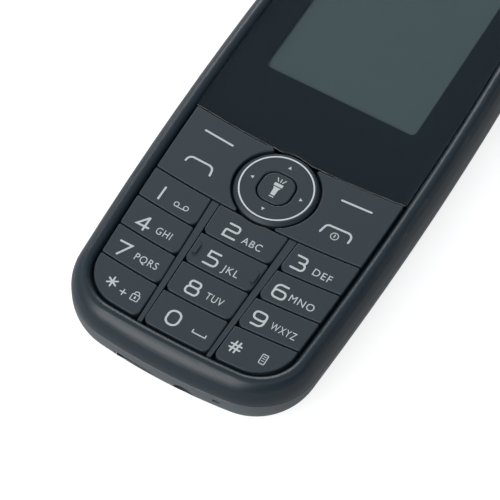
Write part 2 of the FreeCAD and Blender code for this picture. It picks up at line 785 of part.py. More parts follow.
def make_front_housing():
    """Moulded frame round the window and keys, with the plate that carries the window."""
    body = new_body("front_housing")
    outline = new_sketch(body, "FrontOutline", FRONT_BASE)
    bowed_outline(outline, BODY_OUTLINE)
    pad(body, outline, f"{TOP} - {FRONT_BASE}")
    round_over(body, outline, "0", f"({TOP} - Dims.front_crest_radius - Dims.front_shoulder)",
               TOP, "Dims.front_wall_radius", "Dims.front_crest_radius", upward=True)

    seat = new_sketch(body, "WindowSeat", TOP)
    bowed_outline(seat, OPENING_OUTLINE)
    pocket(body, seat, f"{TOP} - {SEAT}")
    lip = [worth(size) + 0.1 for size in OPENING_OUTLINE[:2]]
    sunk, base = worth(KEY_TOP), worth(FRONT_BASE)
    fillet(body, lambda edge: edge.BoundBox.ZMin > sunk and lies_within(edge, *lip),
           "Dims.lip_radius")
    fillet(body, lambda edge: lies_at(edge, base), "Dims.seam_edge")

    cavity = new_sketch(body, "FrontCavity", FRONT_BASE)
    bowed_outline(cavity, BODY_OUTLINE, "Dims.front_wall")
    pocket(body, cavity, f"{PLATE_BASE} - {FRONT_BASE}", up=True)

    keys = new_sketch(body, "KeypadOpening", SEAT)
    part_outline(keys, OPENING_OUTLINE, "0", WINDOW_EDGE, upper=False)
    pocket(body, keys, "Dims.front_plate")
    hub = new_sketch(body, "NavNotch", SEAT)
    add_circle(hub, "0", NAV_Y, f"{NAV_SPACE} + Dims.plate_gap")
    pocket(body, hub, "Dims.front_plate")
    display = new_sketch(body, "DisplayOpening", SEAT)
    add_rectangle(display, "0", SCREEN_Y,
                  "Dims.module_width + 2 * Dims.module_gap",
                  f"{MODULE_LENGTH} + 2 * Dims.module_gap")
    pocket(body, display, "Dims.front_plate")

    receiver = new_sketch(body, "ReceiverPocket", PLATE_BASE)
    add_rectangle(receiver, "0", EARPIECE_Y, "Dims.receiver_length + 2 * Dims.module_gap",
                  "Dims.receiver_width + 2 * Dims.module_gap", "Dims.receiver_width / 4")
    pocket(body, receiver, "Dims.receiver_recess", up=True)
    slot = new_sketch(body, "SoundSlot", SEAT)
    add_rectangle(slot, "0", EARPIECE_Y, "Dims.earpiece_slot_length",
                  "Dims.earpiece_slot_width", slot_end("Dims.earpiece_slot_width"))
    pocket(body, slot, "Dims.front_plate")

    bosses = new_sketch(body, "ScrewBosses", PLATE_BASE)
    holes = new_sketch(body, "ScrewHoles", f"{REAR_TOP} + Dims.boss_gap")
    for x, y in screw_places():
        add_circle(bosses, x, y, "Dims.boss_radius")
        add_circle(holes, x, y, "Dims.screw_radius + Dims.screw_fit")
    pad(body, bosses, f"{PLATE_BASE} - {REAR_TOP} - Dims.boss_gap", down=True)
    pocket(body, holes, f"{PLATE_BASE} - {REAR_TOP} - Dims.boss_gap", up=True)
    return body


# ------------------------------------------------------------------------------------------
# Rear housing and battery cover
# ------------------------------------------------------------------------------------------

def rear_form(name, inset):
    """The outer form below the seam, taken in by an inset all over."""
    body = new_body(name)
    outline = new_sketch(body, f"{name}Outline", inset)
    bowed_outline(outline, BODY_OUTLINE, inset)
    pad(body, outline, f"{REAR_TOP} - {inset}")
    round_over(body, outline, inset, "(Dims.rear_base_radius + Dims.rear_shoulder)", "0",
               "Dims.rear_wall_radius", "Dims.rear_base_radius", upward=False)
    return body


def bowed_prism(name, outline, inset, base, height):
    body = new_body(name)
    drawing = new_sketch(body, f"{name}Outline", base)
    bowed_outline(drawing, outline, inset)
    pad(body, drawing, height)
    return body


def stadium_hole(name, x, z, width, height, corner):
    """A slot with rounded ends, cut right through the bottom end wall."""
    body = new_body(name)
    drawing = new_sketch(body, f"{name}Outline", f"{HALF_LENGTH} - Dims.jack_body_inset",
                         role="XZ_Plane")
    add_rectangle(drawing, x, z, width, height, corner)
    pad(body, drawing, f"Dims.jack_body_inset + {OUTSIDE}")
    return body


END_WALL = f"({HALF_LENGTH} + {OUTSIDE})"
RECESS_ROOF = "(Dims.cover_thickness + Dims.cover_gap)"
JACK_LENGTH = "(Dims.jack_depth - Dims.jack_body_inset)"
JACK_MIDDLE = f"({HALF_LENGTH} - Dims.jack_body_inset - {JACK_LENGTH} / 2)"
JACK_BASE = "(Dims.jack_z - Dims.jack_body_height / 2)"


def grille_slots(name):
    """Slots over the loudspeaker, a row across the back."""
    slots = []
    for index in range(int(worth("Dims.grille_count"))):
        offset = f"({index} - (Dims.grille_count - 1) / 2) * Dims.grille_pitch"
        slots.append(box(f"{name}_{index + 1}", "0", f"{SPEAKER_Y} + {offset}",
                         f"-{OUTSIDE}", "Dims.grille_length", "Dims.grille_width",
                         f"Dims.rear_wall + 2 * {OUTSIDE}"))
    return slots


def tab_places():
    """Where the battery cover's locating tabs stand, two on each side."""
    upper_y = f"({HALF_LENGTH} - Dims.cover_upper_tab_from_end)"
    lower_y = f"(Dims.cover_lower_tab_from_end - {HALF_LENGTH})"
    return [(f"{side} * Dims.cover_tab_x", y) for side in (1, -1) for y in (upper_y, lower_y)]


def make_cover(whole):
    """Battery cover: a skin of even thickness with four tabs and the loudspeaker's slots."""
    prism = bowed_prism("CoverPrism", COVER_OUTLINE, "0", f"-{OUTSIDE}",
                        "Dims.parting_height")
    under = rear_form("CoverUnderside", "Dims.cover_thickness")
    skin = common("cover_skin", prism, cut("cover_shell", whole, under))
    sunk = "Dims.cover_thickness / 3"
    tabs = [box(f"cover_tab_{index}", x, y, f"Dims.cover_thickness - {sunk}",
                "Dims.cover_tab_length", "Dims.cover_tab_width",
                f"Dims.cover_tab_height + {sunk}")
            for index, (x, y) in enumerate(tab_places(), start=1)]
    return cut("battery_cover", fuse("cover_solid", skin, *tabs), *grille_slots("cover_slot"))


def make_bay_windows():
    """Openings in the bay's floor and end for the card holders and the connector."""
    base = f"{BAY_TOP} - {OUTSIDE}"
    height = f"Dims.bay_floor + 2 * {OUTSIDE}"
    rim = "2 * Dims.holder_rim"
    windows = [box(f"sim_window_{index}", f"{side} * Dims.sim_spread", SIM_Y, base,
                   f"Dims.sim_width - {rim}", f"Dims.sim_length - {rim}", height)
               for index, side in ((1, 1), (2, -1))]
    windows.append(box("card_window", "0", CARD_Y, base, f"Dims.card_width - {rim}",
                       f"Dims.card_length - {rim}", height))
    windows.append(box("connector_window", "0",
                       f"{connector_middle()} - Dims.connector_length / 2", RECESS_ROOF,
                       "Dims.connector_width + 2 * Dims.connector_gap",
                       "2 * Dims.connector_length + 2 * Dims.connector_gap", TOP))
    return windows


def make_end_holes():
    """Openings of the end walls: USB, microphone, headset socket and torch."""
    torch_reach = f"(Dims.torch_lens_length + Dims.torch_diode_length + {OUTSIDE})"
    return [
        stadium_hole("UsbSlot", "Dims.usb_x", "Dims.usb_z",
                     "Dims.usb_shell_width + 2 * Dims.usb_gap",
                     "Dims.usb_shell_height + 2 * Dims.usb_gap",
                     "Dims.usb_shell_wall * 2 + Dims.usb_gap"),
        stadium_hole("MicHole", "Dims.mic_x", MIC_Z, "Dims.mic_hole_width",
                     "Dims.mic_hole_height", slot_end("Dims.mic_hole_height")),
        cylinder("jack_hole", "Dims.jack_x", f"-{END_WALL}", "Dims.jack_z",
                 "Dims.jack_hole_radius", f"Dims.jack_body_inset + {OUTSIDE}", ALONG_Y),
        common("jack_nose_seat",
               cylinder("jack_seat_bore", "Dims.jack_x", f"-{END_WALL}", "Dims.jack_z",
                        "Dims.jack_nose_radius + Dims.jack_seat_gap",
                        f"Dims.jack_body_inset + 2 * {OUTSIDE}", ALONG_Y),
               rear_form("JackSkin", "Dims.jack_lip")),
        box("jack_seat", "Dims.jack_x", f"-{JACK_MIDDLE}", f"{JACK_BASE} - Dims.jack_gap",
            "Dims.jack_body_width + 2 * Dims.jack_gap",
            f"{JACK_LENGTH} + 2 * Dims.jack_gap", TOP),
        cylinder("torch_hole", "0", f"{HALF_LENGTH} - {torch_reach}", "Dims.torch_z",
                 "Dims.torch_radius + Dims.torch_play", f"{torch_reach} + {OUTSIDE}",
                 ALONG_Y),
    ]


def make_back():
    """Rear housing with its battery bay, and the cover that closes it."""
    whole = rear_form("RearWhole", "0")
    rim = worth(REAR_TOP)
    fillet(whole, lambda edge: lies_at(edge, rim), "Dims.seam_edge")
    cavity = rear_form("RearCavity", "Dims.rear_wall")
    cavity_rise = bowed_prism("CavityRise", BODY_OUTLINE, "Dims.rear_wall",
                              f"{REAR_TOP} - {OUTSIDE}", f"2 * {OUTSIDE}")
    shell = cut("rear_shell", whole, cavity, cavity_rise)

    tongue_base = f"({REAR_TOP} - Dims.tongue_root)"
    tongue_inset = "(Dims.front_wall + Dims.tongue_gap)"
    tongue_rise = "(Dims.tongue_root + Dims.seam_gap + Dims.tongue_height)"
    tongue = cut("rear_tongue",
                 bowed_prism("TongueOuter", BODY_OUTLINE, tongue_inset, tongue_base,
                             tongue_rise),
                 bowed_prism("TongueInner", BODY_OUTLINE,
                             f"({tongue_inset} + Dims.tongue_thickness)", tongue_base,
                             tongue_rise))

    bay_width = "(Dims.battery_width + 2 * Dims.battery_gap)"
    bay_length = f"({BATTERY_LENGTH} + 2 * Dims.battery_gap)"
    tub = box("bay_tub", "0", BATTERY_Y, RECESS_ROOF,
              f"{bay_width} + 2 * Dims.bay_wall", f"{bay_length} + 2 * Dims.bay_wall",
              f"{BAY_TOP} + Dims.bay_floor - {RECESS_ROOF}")
    bay = box("bay_space", "0", BATTERY_Y, f"-{OUTSIDE}", bay_width, bay_length,
              f"{BAY_TOP} + {OUTSIDE}")
    posts, bores, heads = [], [], []
    for index, (x, y) in enumerate(screw_places(), start=1):
        posts.append(cylinder(f"post_{index}", x, y, "0", "Dims.post_radius", REAR_TOP))
        bores.append(cylinder(f"post_bore_{index}", x, y, "0",
                              "Dims.screw_radius + Dims.screw_play", TOP))
        heads.append(cylinder(f"post_counterbore_{index}", x, y, "0",
                              "Dims.screw_head_radius + Dims.screw_play",
                              "Dims.screw_head_level"))
    inside = common("rear_inside", whole, fuse("rear_blocks", tub, *posts))

    recess = cut("cover_recess",
                 bowed_prism("RecessPrism", COVER_OUTLINE, "(0 - Dims.cover_gap)",
                             f"-{OUTSIDE}", "Dims.parting_height"),
                 rear_form("RecessFloor", RECESS_ROOF))
    tab_holes = [box(f"tab_hole_{index}", x, y, "0",
                     "Dims.cover_tab_length + 2 * Dims.cover_gap",
                     "Dims.cover_tab_width + 2 * Dims.cover_gap",
                     f"{RECESS_ROOF} + Dims.cover_tab_height")
                 for index, (x, y) in enumerate(tab_places(), start=1)]
    rear = cut("rear_housing", fuse("rear_solid", shell, tongue, inside), bay, recess,
               *bores, *heads, *make_bay_windows(), *make_end_holes(), *tab_holes,
               *grille_slots("rear_slot"))
    return [rear, make_cover(whole)]


def make_screws():
    """Four cross-head screws, from the posts under the battery cover into the front."""
    screws = []
    for index, (x, y) in enumerate(screw_places(), start=1):
        head_base = "(Dims.screw_head_level - Dims.screw_head_height)"
        head = cylinder(f"screw_head_{index}", x, y, head_base, "Dims.screw_head_radius",
                        "Dims.screw_head_height")
        shank = cylinder(f"screw_shank_{index}", x, y, "Dims.screw_head_level",
                         "Dims.screw_radius", "Dims.screw_length")
        long_arm, short_arm = "Dims.screw_head_radius * 1.2", "Dims.screw_radius / 2.5"
        arms = [box(f"screw_arm_{index}{arm}", x, y, f"{head_base} - {OUTSIDE}", width, length,
                    f"{OUTSIDE} + Dims.screw_head_height / 2")
                for arm, width, length in (("a", long_arm, short_arm),
                                           ("b", short_arm, long_arm))]
        screws.append(cut(f"screw_{index}", fuse(f"screw_blank_{index}", head, shank), *arms))
    return group("housing_screws", screws)


# ------------------------------------------------------------------------------------------
# Window, display and earpiece
# ------------------------------------------------------------------------------------------

def window_layer(name, inset, base, thickness):
    """A sheet with the window's outline: the opening above the key field."""
    body = new_body(name)
    outline = new_sketch(body, f"{name}Outline", base)
    part_outline(outline, OPENING_OUTLINE, inset,
                 f"({WINDOW_EDGE} + {inset} - Dims.window_gap)", upper=True)
    pad(body, outline, thickness)
    notch = new_sketch(body, f"{name}Notch", f"{base} + {thickness}")
    add_circle(notch, "0", NAV_Y,
               f"Dims.nav_radius + Dims.nav_window_gap + {inset} - Dims.window_gap")
    pocket(body, notch, thickness)
    return body


MESH_LENGTH = "(Dims.earpiece_slot_length + 2 * Dims.mesh_overlap)"
MESH_WIDTH = "(Dims.earpiece_slot_width + 2 * Dims.mesh_overlap)"


def cut_rectangle(body, name, y, width, length, corner, top, depth):
    drawing = new_sketch(body, f"{body.Name}{name}", top)
    add_rectangle(drawing, "0", y, width, length, corner)
    pocket(body, drawing, depth)


def make_window():
    """Clear pane, its printed border and the adhesive ring under it."""
    slot_corner = slot_end("Dims.earpiece_slot_width")
    window = window_layer("display_window", "Dims.window_gap", WINDOW_BASE,
                          "Dims.window_thickness")
    cut_rectangle(window, "Slot", EARPIECE_Y, "Dims.earpiece_slot_length",
                  "Dims.earpiece_slot_width", slot_corner, KEY_TOP, "Dims.window_thickness")
    top = worth(KEY_TOP)
    fillet(window, lambda edge: lies_at(edge, top), "Dims.window_gap", kind="Chamfer")

    mask_top = f"({MASK_BASE} + Dims.mask_thickness)"
    mask = window_layer("window_mask", "(2 * Dims.window_gap)", MASK_BASE,
                        "Dims.mask_thickness")
    cut_rectangle(mask, "Screen", SCREEN_Y, "Dims.screen_width",
                  SCREEN_LENGTH, "Dims.screen_corner", mask_top,
                  "Dims.mask_thickness")
    cut_rectangle(mask, "Slot", EARPIECE_Y, "Dims.earpiece_slot_length",
                  "Dims.earpiece_slot_width", slot_corner, mask_top,
                  "Dims.mask_thickness")

    adhesive = window_layer("window_adhesive", "(4 * Dims.window_gap)", SEAT,
                            "Dims.adhesive_thickness")
    cut_rectangle(adhesive, "Display", SCREEN_Y,
                  "Dims.module_width + 4 * Dims.module_gap",
                  f"{MODULE_LENGTH} + 4 * Dims.module_gap", None, MASK_BASE,
                  "Dims.adhesive_thickness")
    cut_rectangle(adhesive, "Earpiece", EARPIECE_Y, f"{MESH_LENGTH} + 2 * Dims.mesh_gap",
                  f"{MESH_WIDTH} + 2 * Dims.mesh_gap", None, MASK_BASE,
                  "Dims.adhesive_thickness")
    return [window, mask, adhesive]


def make_display():
    """Display glass on its backlight frame, with the ribbon to the board."""
    backlight_top = f"({PLATE_BASE} - Dims.module_drop)"
    panel = box("lcd_panel", "0", SCREEN_Y, backlight_top,
                "Dims.module_width - 2 * Dims.panel_side_margin",
                f"{MODULE_LENGTH} - 2 * Dims.panel_end_margin", "Dims.panel_thickness")
    frame_base = f"({BOARD_TOP} + Dims.module_drop)"
    backlight = box("lcd_backlight", "0", SCREEN_Y, frame_base,
                    "Dims.module_width", MODULE_LENGTH,
                    f"{backlight_top} - {frame_base}")
    foot_y = f"({SCREEN_Y} - {MODULE_LENGTH} / 2)"
    run = box("ribbon_run", "0", f"{foot_y} - Dims.ribbon_length / 2",
              f"{frame_base} + Dims.ribbon_rise", "Dims.ribbon_width", "Dims.ribbon_length",
              "Dims.ribbon_thickness")
    end = box("ribbon_end", "0", f"{foot_y} - Dims.ribbon_length + Dims.ribbon_foot / 2",
              BOARD_TOP, "Dims.ribbon_width", "Dims.ribbon_foot",
              f"{frame_base} + Dims.ribbon_rise - {BOARD_TOP}")
    return [panel, backlight, fuse("lcd_ribbon", run, end)]


def make_earpiece():
    """Receiver behind the plate, and the mesh under the window's slot."""
    receiver = new_body("earpiece_receiver")
    outline = new_sketch(receiver, "ReceiverOutline", f"{BOARD_TOP} + Dims.module_drop")
    add_rectangle(outline, "0", EARPIECE_Y, "Dims.receiver_length", "Dims.receiver_width",
                  "Dims.receiver_width / 4")
    pad(receiver, outline, "Dims.receiver_thickness")
    mesh = box("earpiece_mesh", "0", EARPIECE_Y, SEAT, MESH_LENGTH, MESH_WIDTH,
               "Dims.adhesive_thickness - Dims.print_gap")
    return [receiver, mesh]


# ------------------------------------------------------------------------------------------
# Keys
# ------------------------------------------------------------------------------------------

KEY_NAMES = (("key_1", "key_2", "key_3"),
             ("key_4", "key_5", "key_6"),
             ("key_7", "key_8", "key_9"),
             ("key_star", "key_0", "key_hash"))
LAST_ROW = len(KEY_NAMES) - 1
BELOW = f"(0 - {HALF_LENGTH})"


def row_line(row):
    """Level of the line above a row, on the phone's middle plane."""
    return f"({NAV_Y} - Dims.nav_radius - Dims.nav_row_gap - {row} * Dims.row_pitch)"


def centre_edge(row):
    """Half the width of the middle column at a row line."""
    return f"(Dims.centre_edge - Dims.centre_taper * {row} * Dims.row_pitch)"


def side_edge(row):
    """Distance of the side columns from the middle plane at a row line."""
    return f"(Dims.side_edge - Dims.side_taper * {row} * Dims.row_pitch)"


def sloping(edge, row, side, shift="0"):
    """X of a column's edge at the top and bottom line of a row, on one side."""
    return tuple(f"({side} * ({edge(line)} + {shift}))" for line in (row, row + 1))


def add_cell(sketch, top, bottom, left, right):
    """Draws a cell between two smile lines and two straight edges.

    The lines are levels on the phone's middle plane; each edge has its X at the top and at
    the bottom.
    """
    bow = worth("Dims.smile_radius")
    first = sketch.GeometryCount
    levels = (top, bottom)
    centres = [(0.0, worth(level) + bow) for level in levels]

    def on_line(index, x):
        return x, centres[index][1] - math.sqrt(bow ** 2 - x ** 2)

    ends = [[on_line(index, worth(edge[index])) for edge in (left, right)]
            for index in (0, 1)]
    for index, centre in enumerate(centres):
        add_arc(sketch, centre, bow, *[bearing(centre, point) for point in ends[index]])
    add_line(sketch, ends[0][0], ends[1][0])
    add_line(sketch, ends[0][1], ends[1][1])
    rules = []
    for index, level in enumerate(levels):
        arc = first + index
        rules += [
            ("Coincident", arc, 1, first + 2, index + 1),
            ("Coincident", arc, 2, first + 3, index + 1),
            ("PointOnObject", arc, 3, -2),
            ("Radius", arc, "Dims.smile_radius"),
            ("DistanceY", -1, 1, arc, 3, f"{level} + Dims.smile_radius"),
            ("DistanceX", -1, 1, first + 2, index + 1, left[index]),
            ("DistanceX", -1, 1, first + 3, index + 1, right[index]),
        ]
    constrain(sketch, rules)


def cap_blank(body, top, bottom, left, right):
    """Pads the opening's outline less the key gap, then cuts away all but one cell."""
    outline = new_sketch(body, f"{body.Name}Outline", KEY_BASE)
    bowed_outline(outline, OPENING_OUTLINE, "Dims.key_frame_gap")
    pad(body, outline, "Dims.key_thickness")
    cell = new_sketch(body, f"{body.Name}Cell", KEY_TOP)
    add_rectangle(cell, "0", "0", "2 * Dims.body_width", "2 * Dims.body_length")
    add_cell(cell, top, bottom, left, right)
    pocket(body, cell, "Dims.key_thickness")


def hub_notch(body, radius):
    """Cuts the space round the navigation ring out of a cap."""
    notch = new_sketch(body, f"{body.Name}Notch", KEY_TOP)
    add_circle(notch, "0", NAV_Y, radius)
    pocket(body, notch, "Dims.key_thickness")


def round_cap(body, large_corner=None):
    """Rounds a cap's upright corners, the chosen ones more, and then its top edge."""
    if large_corner:
        fillet(body, lambda edge: is_corner(body.Tip.Shape, edge) and large_corner(edge),
               "Dims.key_corner")
    fillet(body, lambda edge: is_corner(body.Tip.Shape, edge), "Dims.key_small_corner")
    top = worth(KEY_TOP)
    fillet(body, lambda edge: lies_at(edge, top), "Dims.key_edge")


def add_stems(body, places):
    """Adds the round stems that press the domes."""
    stems = new_sketch(body, f"{body.Name}Stems", f"{KEY_BASE} + Dims.stem_root")
    for x, y in places:
        add_circle(stems, x, y, "Dims.stem_radius")
    pad(body, stems, f"{KEY_BASE} + Dims.stem_root - {STEM_END}", down=True)


def key_place(row, column):
    """X and Y of the stem of the key in a row (0 to 3) and column (0 to 2)."""
    across = f"(({side_edge(row)} + {OPENING_OUTLINE[0]}) / 2 - Dims.row_pitch / 10)"
    x = (f"(0 - {across})", "0", across)[column]
    return x, f"({row_line(row)} - Dims.row_pitch / 2)"


def make_key(row, column):
    """One key cap of the number pad, with the stem that presses its dome."""
    body = new_body(KEY_NAMES[row][column])
    top = f"({row_line(row)} - Dims.key_gap / 2)"
    bottom = f"({row_line(row + 1)} + Dims.key_gap / 2)" if row < LAST_ROW else BELOW
    beyond = (HALF_WIDTH, HALF_WIDTH)
    if column == 1:
        left, right = sloping(centre_edge, row, -1), sloping(centre_edge, row, 1)
    elif column == 2:
        left, right = sloping(side_edge, row, 1), beyond
    else:
        left, right = tuple(f"(0 - {x})" for x in beyond), sloping(side_edge, row, -1)
    cap_blank(body, top, bottom, left, right)
    if (row, column) == (0, 1):
        hub_notch(body, f"{NAV_SPACE} + Dims.plate_gap")
    x, y = key_place(row, column)
    middle, across = worth(y), abs(worth(x))

    def is_inner_low(edge):
        point = edge.Vertexes[0].Point
        return point.y < middle and (column == 1 or abs(point.x) < across)

    round_cap(body, is_inner_low)
    add_stems(body, [(x, y)])
    if body.Name == "key_5":
        bars = new_sketch(body, "TactileBars", f"{KEY_TOP} - Dims.stem_root")
        for side in (1, -1):
            bar_x = f"{side} * ({centre_edge(row)} - Dims.tactile_bar_inset)"
            add_rectangle(bars, bar_x, y, "Dims.tactile_bar_width",
                          "Dims.tactile_bar_length", "Dims.tactile_bar_width / 4")
        pad(body, bars, "Dims.tactile_bar_height + Dims.stem_root")
    return body


def make_plate(name, side):
    """Rocker plate beside the navigation ring: soft key above, call or end key below."""
    body = new_body(name)
    near = (f"({side} * Dims.centre_edge / 6)",) * 2
    beyond = (f"({side} * {HALF_WIDTH})",) * 2
    left, right = (near, beyond) if side > 0 else (beyond, near)
    cap_blank(body, f"({WINDOW_EDGE} - Dims.plate_gap)",
              f"({row_line(0)} + Dims.key_gap / 2)", left, right)
    hub_notch(body, NAV_SPACE)
    round_cap(body)
    add_stems(body, plate_stem_places(side))
    return body


def plate_stem_places(side):
    return [(f"({side} * Dims.plate_stem_x)",
             f"({NAV_Y} + {step} * Dims.plate_stem_spread)") for step in (1, -1)]


# ------------------------------------------------------------------------------------------
# Navigation ring and OK key
# ------------------------------------------------------------------------------------------

NAV_TOP = f"({KEY_TOP} + Dims.nav_proud)"
NAV_BASE = f"({NAV_TOP} - Dims.nav_thickness)"
OK_HOLE = "(Dims.ok_size + 2 * Dims.ok_gap)"


def nav_stem_places():
    reach = "(Dims.nav_radius - Dims.nav_stem_inset)"
    return [(f"{x} * {reach}", f"({NAV_Y} + {y} * {reach})")
            for x, y in ((1, 0), (0, 1), (-1, 0), (0, -1))]


def make_nav():
    """Ring that rocks four ways, its trim, the carrier under it, and the OK key."""
    ring = new_body("nav_ring")
    disc = new_sketch(ring, "NavDisc", NAV_BASE)
    add_circle(disc, "0", NAV_Y, "Dims.nav_radius")
    pad(ring, disc, "Dims.nav_thickness")
    top = worth(NAV_TOP)
    fillet(ring, lambda edge: lies_at(edge, top), "Dims.nav_bevel", kind="Chamfer")
    middle = new_sketch(ring, "NavMiddle", NAV_TOP)
    add_rectangle(middle, "0", NAV_Y, OK_HOLE, OK_HOLE,
                  "(Dims.ok_corner + Dims.ok_gap)")
    pocket(ring, middle, "Dims.nav_thickness")
    hole_reach = worth(OK_HOLE) / 2 + 0.01
    fillet(ring, lambda edge: lies_at(edge, top) and edge.BoundBox.XMax < hole_reach
           and edge.BoundBox.XMin > -hole_reach, "Dims.key_edge")
    groove = new_sketch(ring, "TrimGroove", NAV_TOP)
    inner = "(Dims.nav_radius - Dims.nav_trim_inset - Dims.nav_trim_width / 2)"
    outer = "(Dims.nav_radius - Dims.nav_trim_inset + Dims.nav_trim_width / 2)"
    add_circle(groove, "0", NAV_Y, outer)
    add_circle(groove, "0", NAV_Y, inner)
    pocket(ring, groove, "Dims.nav_trim_depth")
    stems = new_sketch(ring, "NavStems", f"{NAV_BASE} + Dims.stem_root")
    for x, y in nav_stem_places():
        add_circle(stems, x, y, "Dims.nav_stem_radius")
    pad(ring, stems, f"{NAV_BASE} + Dims.stem_root - {STEM_END}", down=True)

    trim = new_body("nav_trim")
    band = new_sketch(trim, "TrimBand", f"{NAV_TOP} - Dims.nav_trim_depth")
    add_circle(band, "0", NAV_Y, outer)
    add_circle(band, "0", NAV_Y, inner)
    pad(trim, band, "Dims.nav_trim_depth + Dims.nav_trim_proud")

    carrier = new_body("nav_carrier")
    gimbal = new_sketch(carrier, "CarrierRing",
                        f"{NAV_BASE} - Dims.carrier_gap - Dims.carrier_thickness")
    add_circle(gimbal, "0", NAV_Y, "Dims.carrier_radius + Dims.carrier_width / 2")
    add_circle(gimbal, "0", NAV_Y, "Dims.carrier_radius - Dims.carrier_width / 2")
    pad(carrier, gimbal, "Dims.carrier_thickness")

    button = new_body("ok_key")
    cap = new_sketch(button, "OkCap", KEY_BASE)
    add_rectangle(cap, "0", NAV_Y, "Dims.ok_size", "Dims.ok_size", "Dims.ok_corner")
    pad(button, cap, f"{NAV_TOP} - {KEY_BASE}")
    fillet(button, lambda edge: lies_at(edge, top), "Dims.key_edge")
    add_stems(button, [("0", NAV_Y)])
    return [ring, trim, carrier, button]


# ------------------------------------------------------------------------------------------
# Keypad frame, mat, dome sheet and lights
# ------------------------------------------------------------------------------------------

def dome_places():
    """X, Y and radius factor of every dome: number keys, plates, ring and OK key."""
    places = [key_place(row, column) + ("1",) for row in range(LAST_ROW + 1)
              for column in range(3)]
    places += [place_ + ("1",) for side in (1, -1) for place_ in plate_stem_places(side)]
    places += [place_ + ("0.6",) for place_ in nav_stem_places()]
    places.append(("0", NAV_Y, "1"))
    return places


def light_places():
    """Three keypad lights on each side of the middle column, on the row lines."""
    return [(f"({side} * Dims.side_edge)", row_line(row)) for side in (1, -1)
            for row in (1, 2, 3)]


FRAME_LINE = f"({WINDOW_EDGE} + Dims.frame_flange)"


def make_keypad_frame():
    """Plate behind the front housing, with the two bars between the key columns."""
    body = new_body("keypad_frame")
    outline = new_sketch(body, "FrameOutline", FRAME_BASE)
    part_outline(outline, OPENING_OUTLINE, "(0 - Dims.frame_flange)", FRAME_LINE,
                 upper=False)
    pad(body, outline, "Dims.frame_thickness")
    bars = new_sketch(body, "ColumnBars", PLATE_BASE)
    foot = f"(Dims.window_gap - {OPENING_OUTLINE[1]})"
    for side in (1, -1):
        inner = [f"({side} * ({centre_edge(row)} + Dims.web_gap))" for row in (0, LAST_ROW + 1)]
        outer = [f"({side} * ({side_edge(row)} - Dims.web_gap))" for row in (0, LAST_ROW + 1)]
        left, right = (inner, outer) if side > 0 else (outer, inner)
        add_cell(bars, f"({row_line(0)} - Dims.key_gap / 2)", foot, left, right)
    pad(body, bars, f"{KEY_TOP} - Dims.web_drop - {PLATE_BASE}")
    holes = new_sketch(body, "StemHoles", PLATE_BASE)
    for x, y, size in dome_places():
        add_circle(holes, x, y, f"Dims.stem_radius * {size} + Dims.stem_gap")
    pocket(body, holes, "Dims.frame_thickness")
    return body


def add_light_windows(sketch):
    for x, y in light_places():
        add_rectangle(sketch, x, y, "Dims.light_length + 2 * Dims.light_gap",
                      "Dims.light_width + 2 * Dims.light_gap")


def make_mat():
    """Silicone sheet that seals the keypad, with a hole round each dome."""
    body = new_body("keypad_mat")
    outline = new_sketch(body, "MatOutline", f"{FRAME_BASE} - Dims.mat_gap")
    part_outline(outline, OPENING_OUTLINE, "Dims.mat_inset", FRAME_LINE, upper=False)
    pad(body, outline, "Dims.mat_thickness", down=True)
    holes = new_sketch(body, "MatHoles", f"{FRAME_BASE} - Dims.mat_gap")
    for x, y, size in dome_places():
        add_circle(holes, x, y, f"Dims.dome_radius * {size} + Dims.stem_gap")
    add_light_windows(holes)
    pocket(body, holes, "Dims.mat_thickness")
    return body


def make_dome_sheet():
    """Film with a snap dome under every stem."""
    film = new_body("DomeFilm")
    outline = new_sketch(film, "FilmOutline", BOARD_TOP)
    part_outline(outline, OPENING_OUTLINE, "(2 * Dims.mat_inset)", FRAME_LINE, upper=False)
    pad(film, outline, "Dims.film_thickness")
    windows = new_sketch(film, "FilmWindows", FILM_TOP)
    add_light_windows(windows)
    pocket(film, windows, "Dims.film_thickness")
    domes = []
    for index, (x, y, size) in enumerate(dome_places(), start=1):
        dome = doc.addObject("Part::Cone", f"dome_{index}")
        dome.setExpression("Radius1", f"Dims.dome_radius * {size}")
        dome.setExpression("Radius2", f"Dims.dome_flat * {size}")
        dome.setExpression("Height", "Dims.dome_height")
        domes.append(place(dome, x, y, FILM_TOP))
    return fuse("dome_sheet", film, *domes)


def make_lights():
    """Six diodes on the board that light the keys."""
    return group("keypad_lights", [
        box(f"keypad_light_{index}", x, y, BOARD_TOP, "Dims.light_length",
            "Dims.light_width", "Dims.light_height")
        for index, (x, y) in enumerate(light_places(), start=1)])


# ------------------------------------------------------------------------------------------
# Main board and what stands on it
# ------------------------------------------------------------------------------------------

def make_board():
    """Printed circuit board, notched round the screw posts."""
    board = bowed_prism("main_board", BODY_OUTLINE, "Dims.board_inset", BOARD_BASE,
                        "Dims.board_thickness")
    notches = new_sketch(board, "BoardNotches", BOARD_TOP)
    for x, y in screw_places():
        add_circle(notches, x, y, "Dims.post_radius + Dims.screw_play")
    pocket(board, notches, "Dims.board_thickness")
    return board


def shield(name, y, width, length):
    """Folded metal can on the back of the board, open towards it."""
    base = f"({BOARD_BASE} - Dims.shield_height)"
    outer = box(f"{name}_outer", "0", y, base, width, length, "Dims.shield_height")
    inner = box(f"{name}_inner", "0", y, f"{base} + Dims.shield_wall",
                f"{width} - 2 * Dims.shield_wall", f"{length} - 2 * Dims.shield_wall",
                "Dims.shield_height")
    return cut(name, outer, inner)


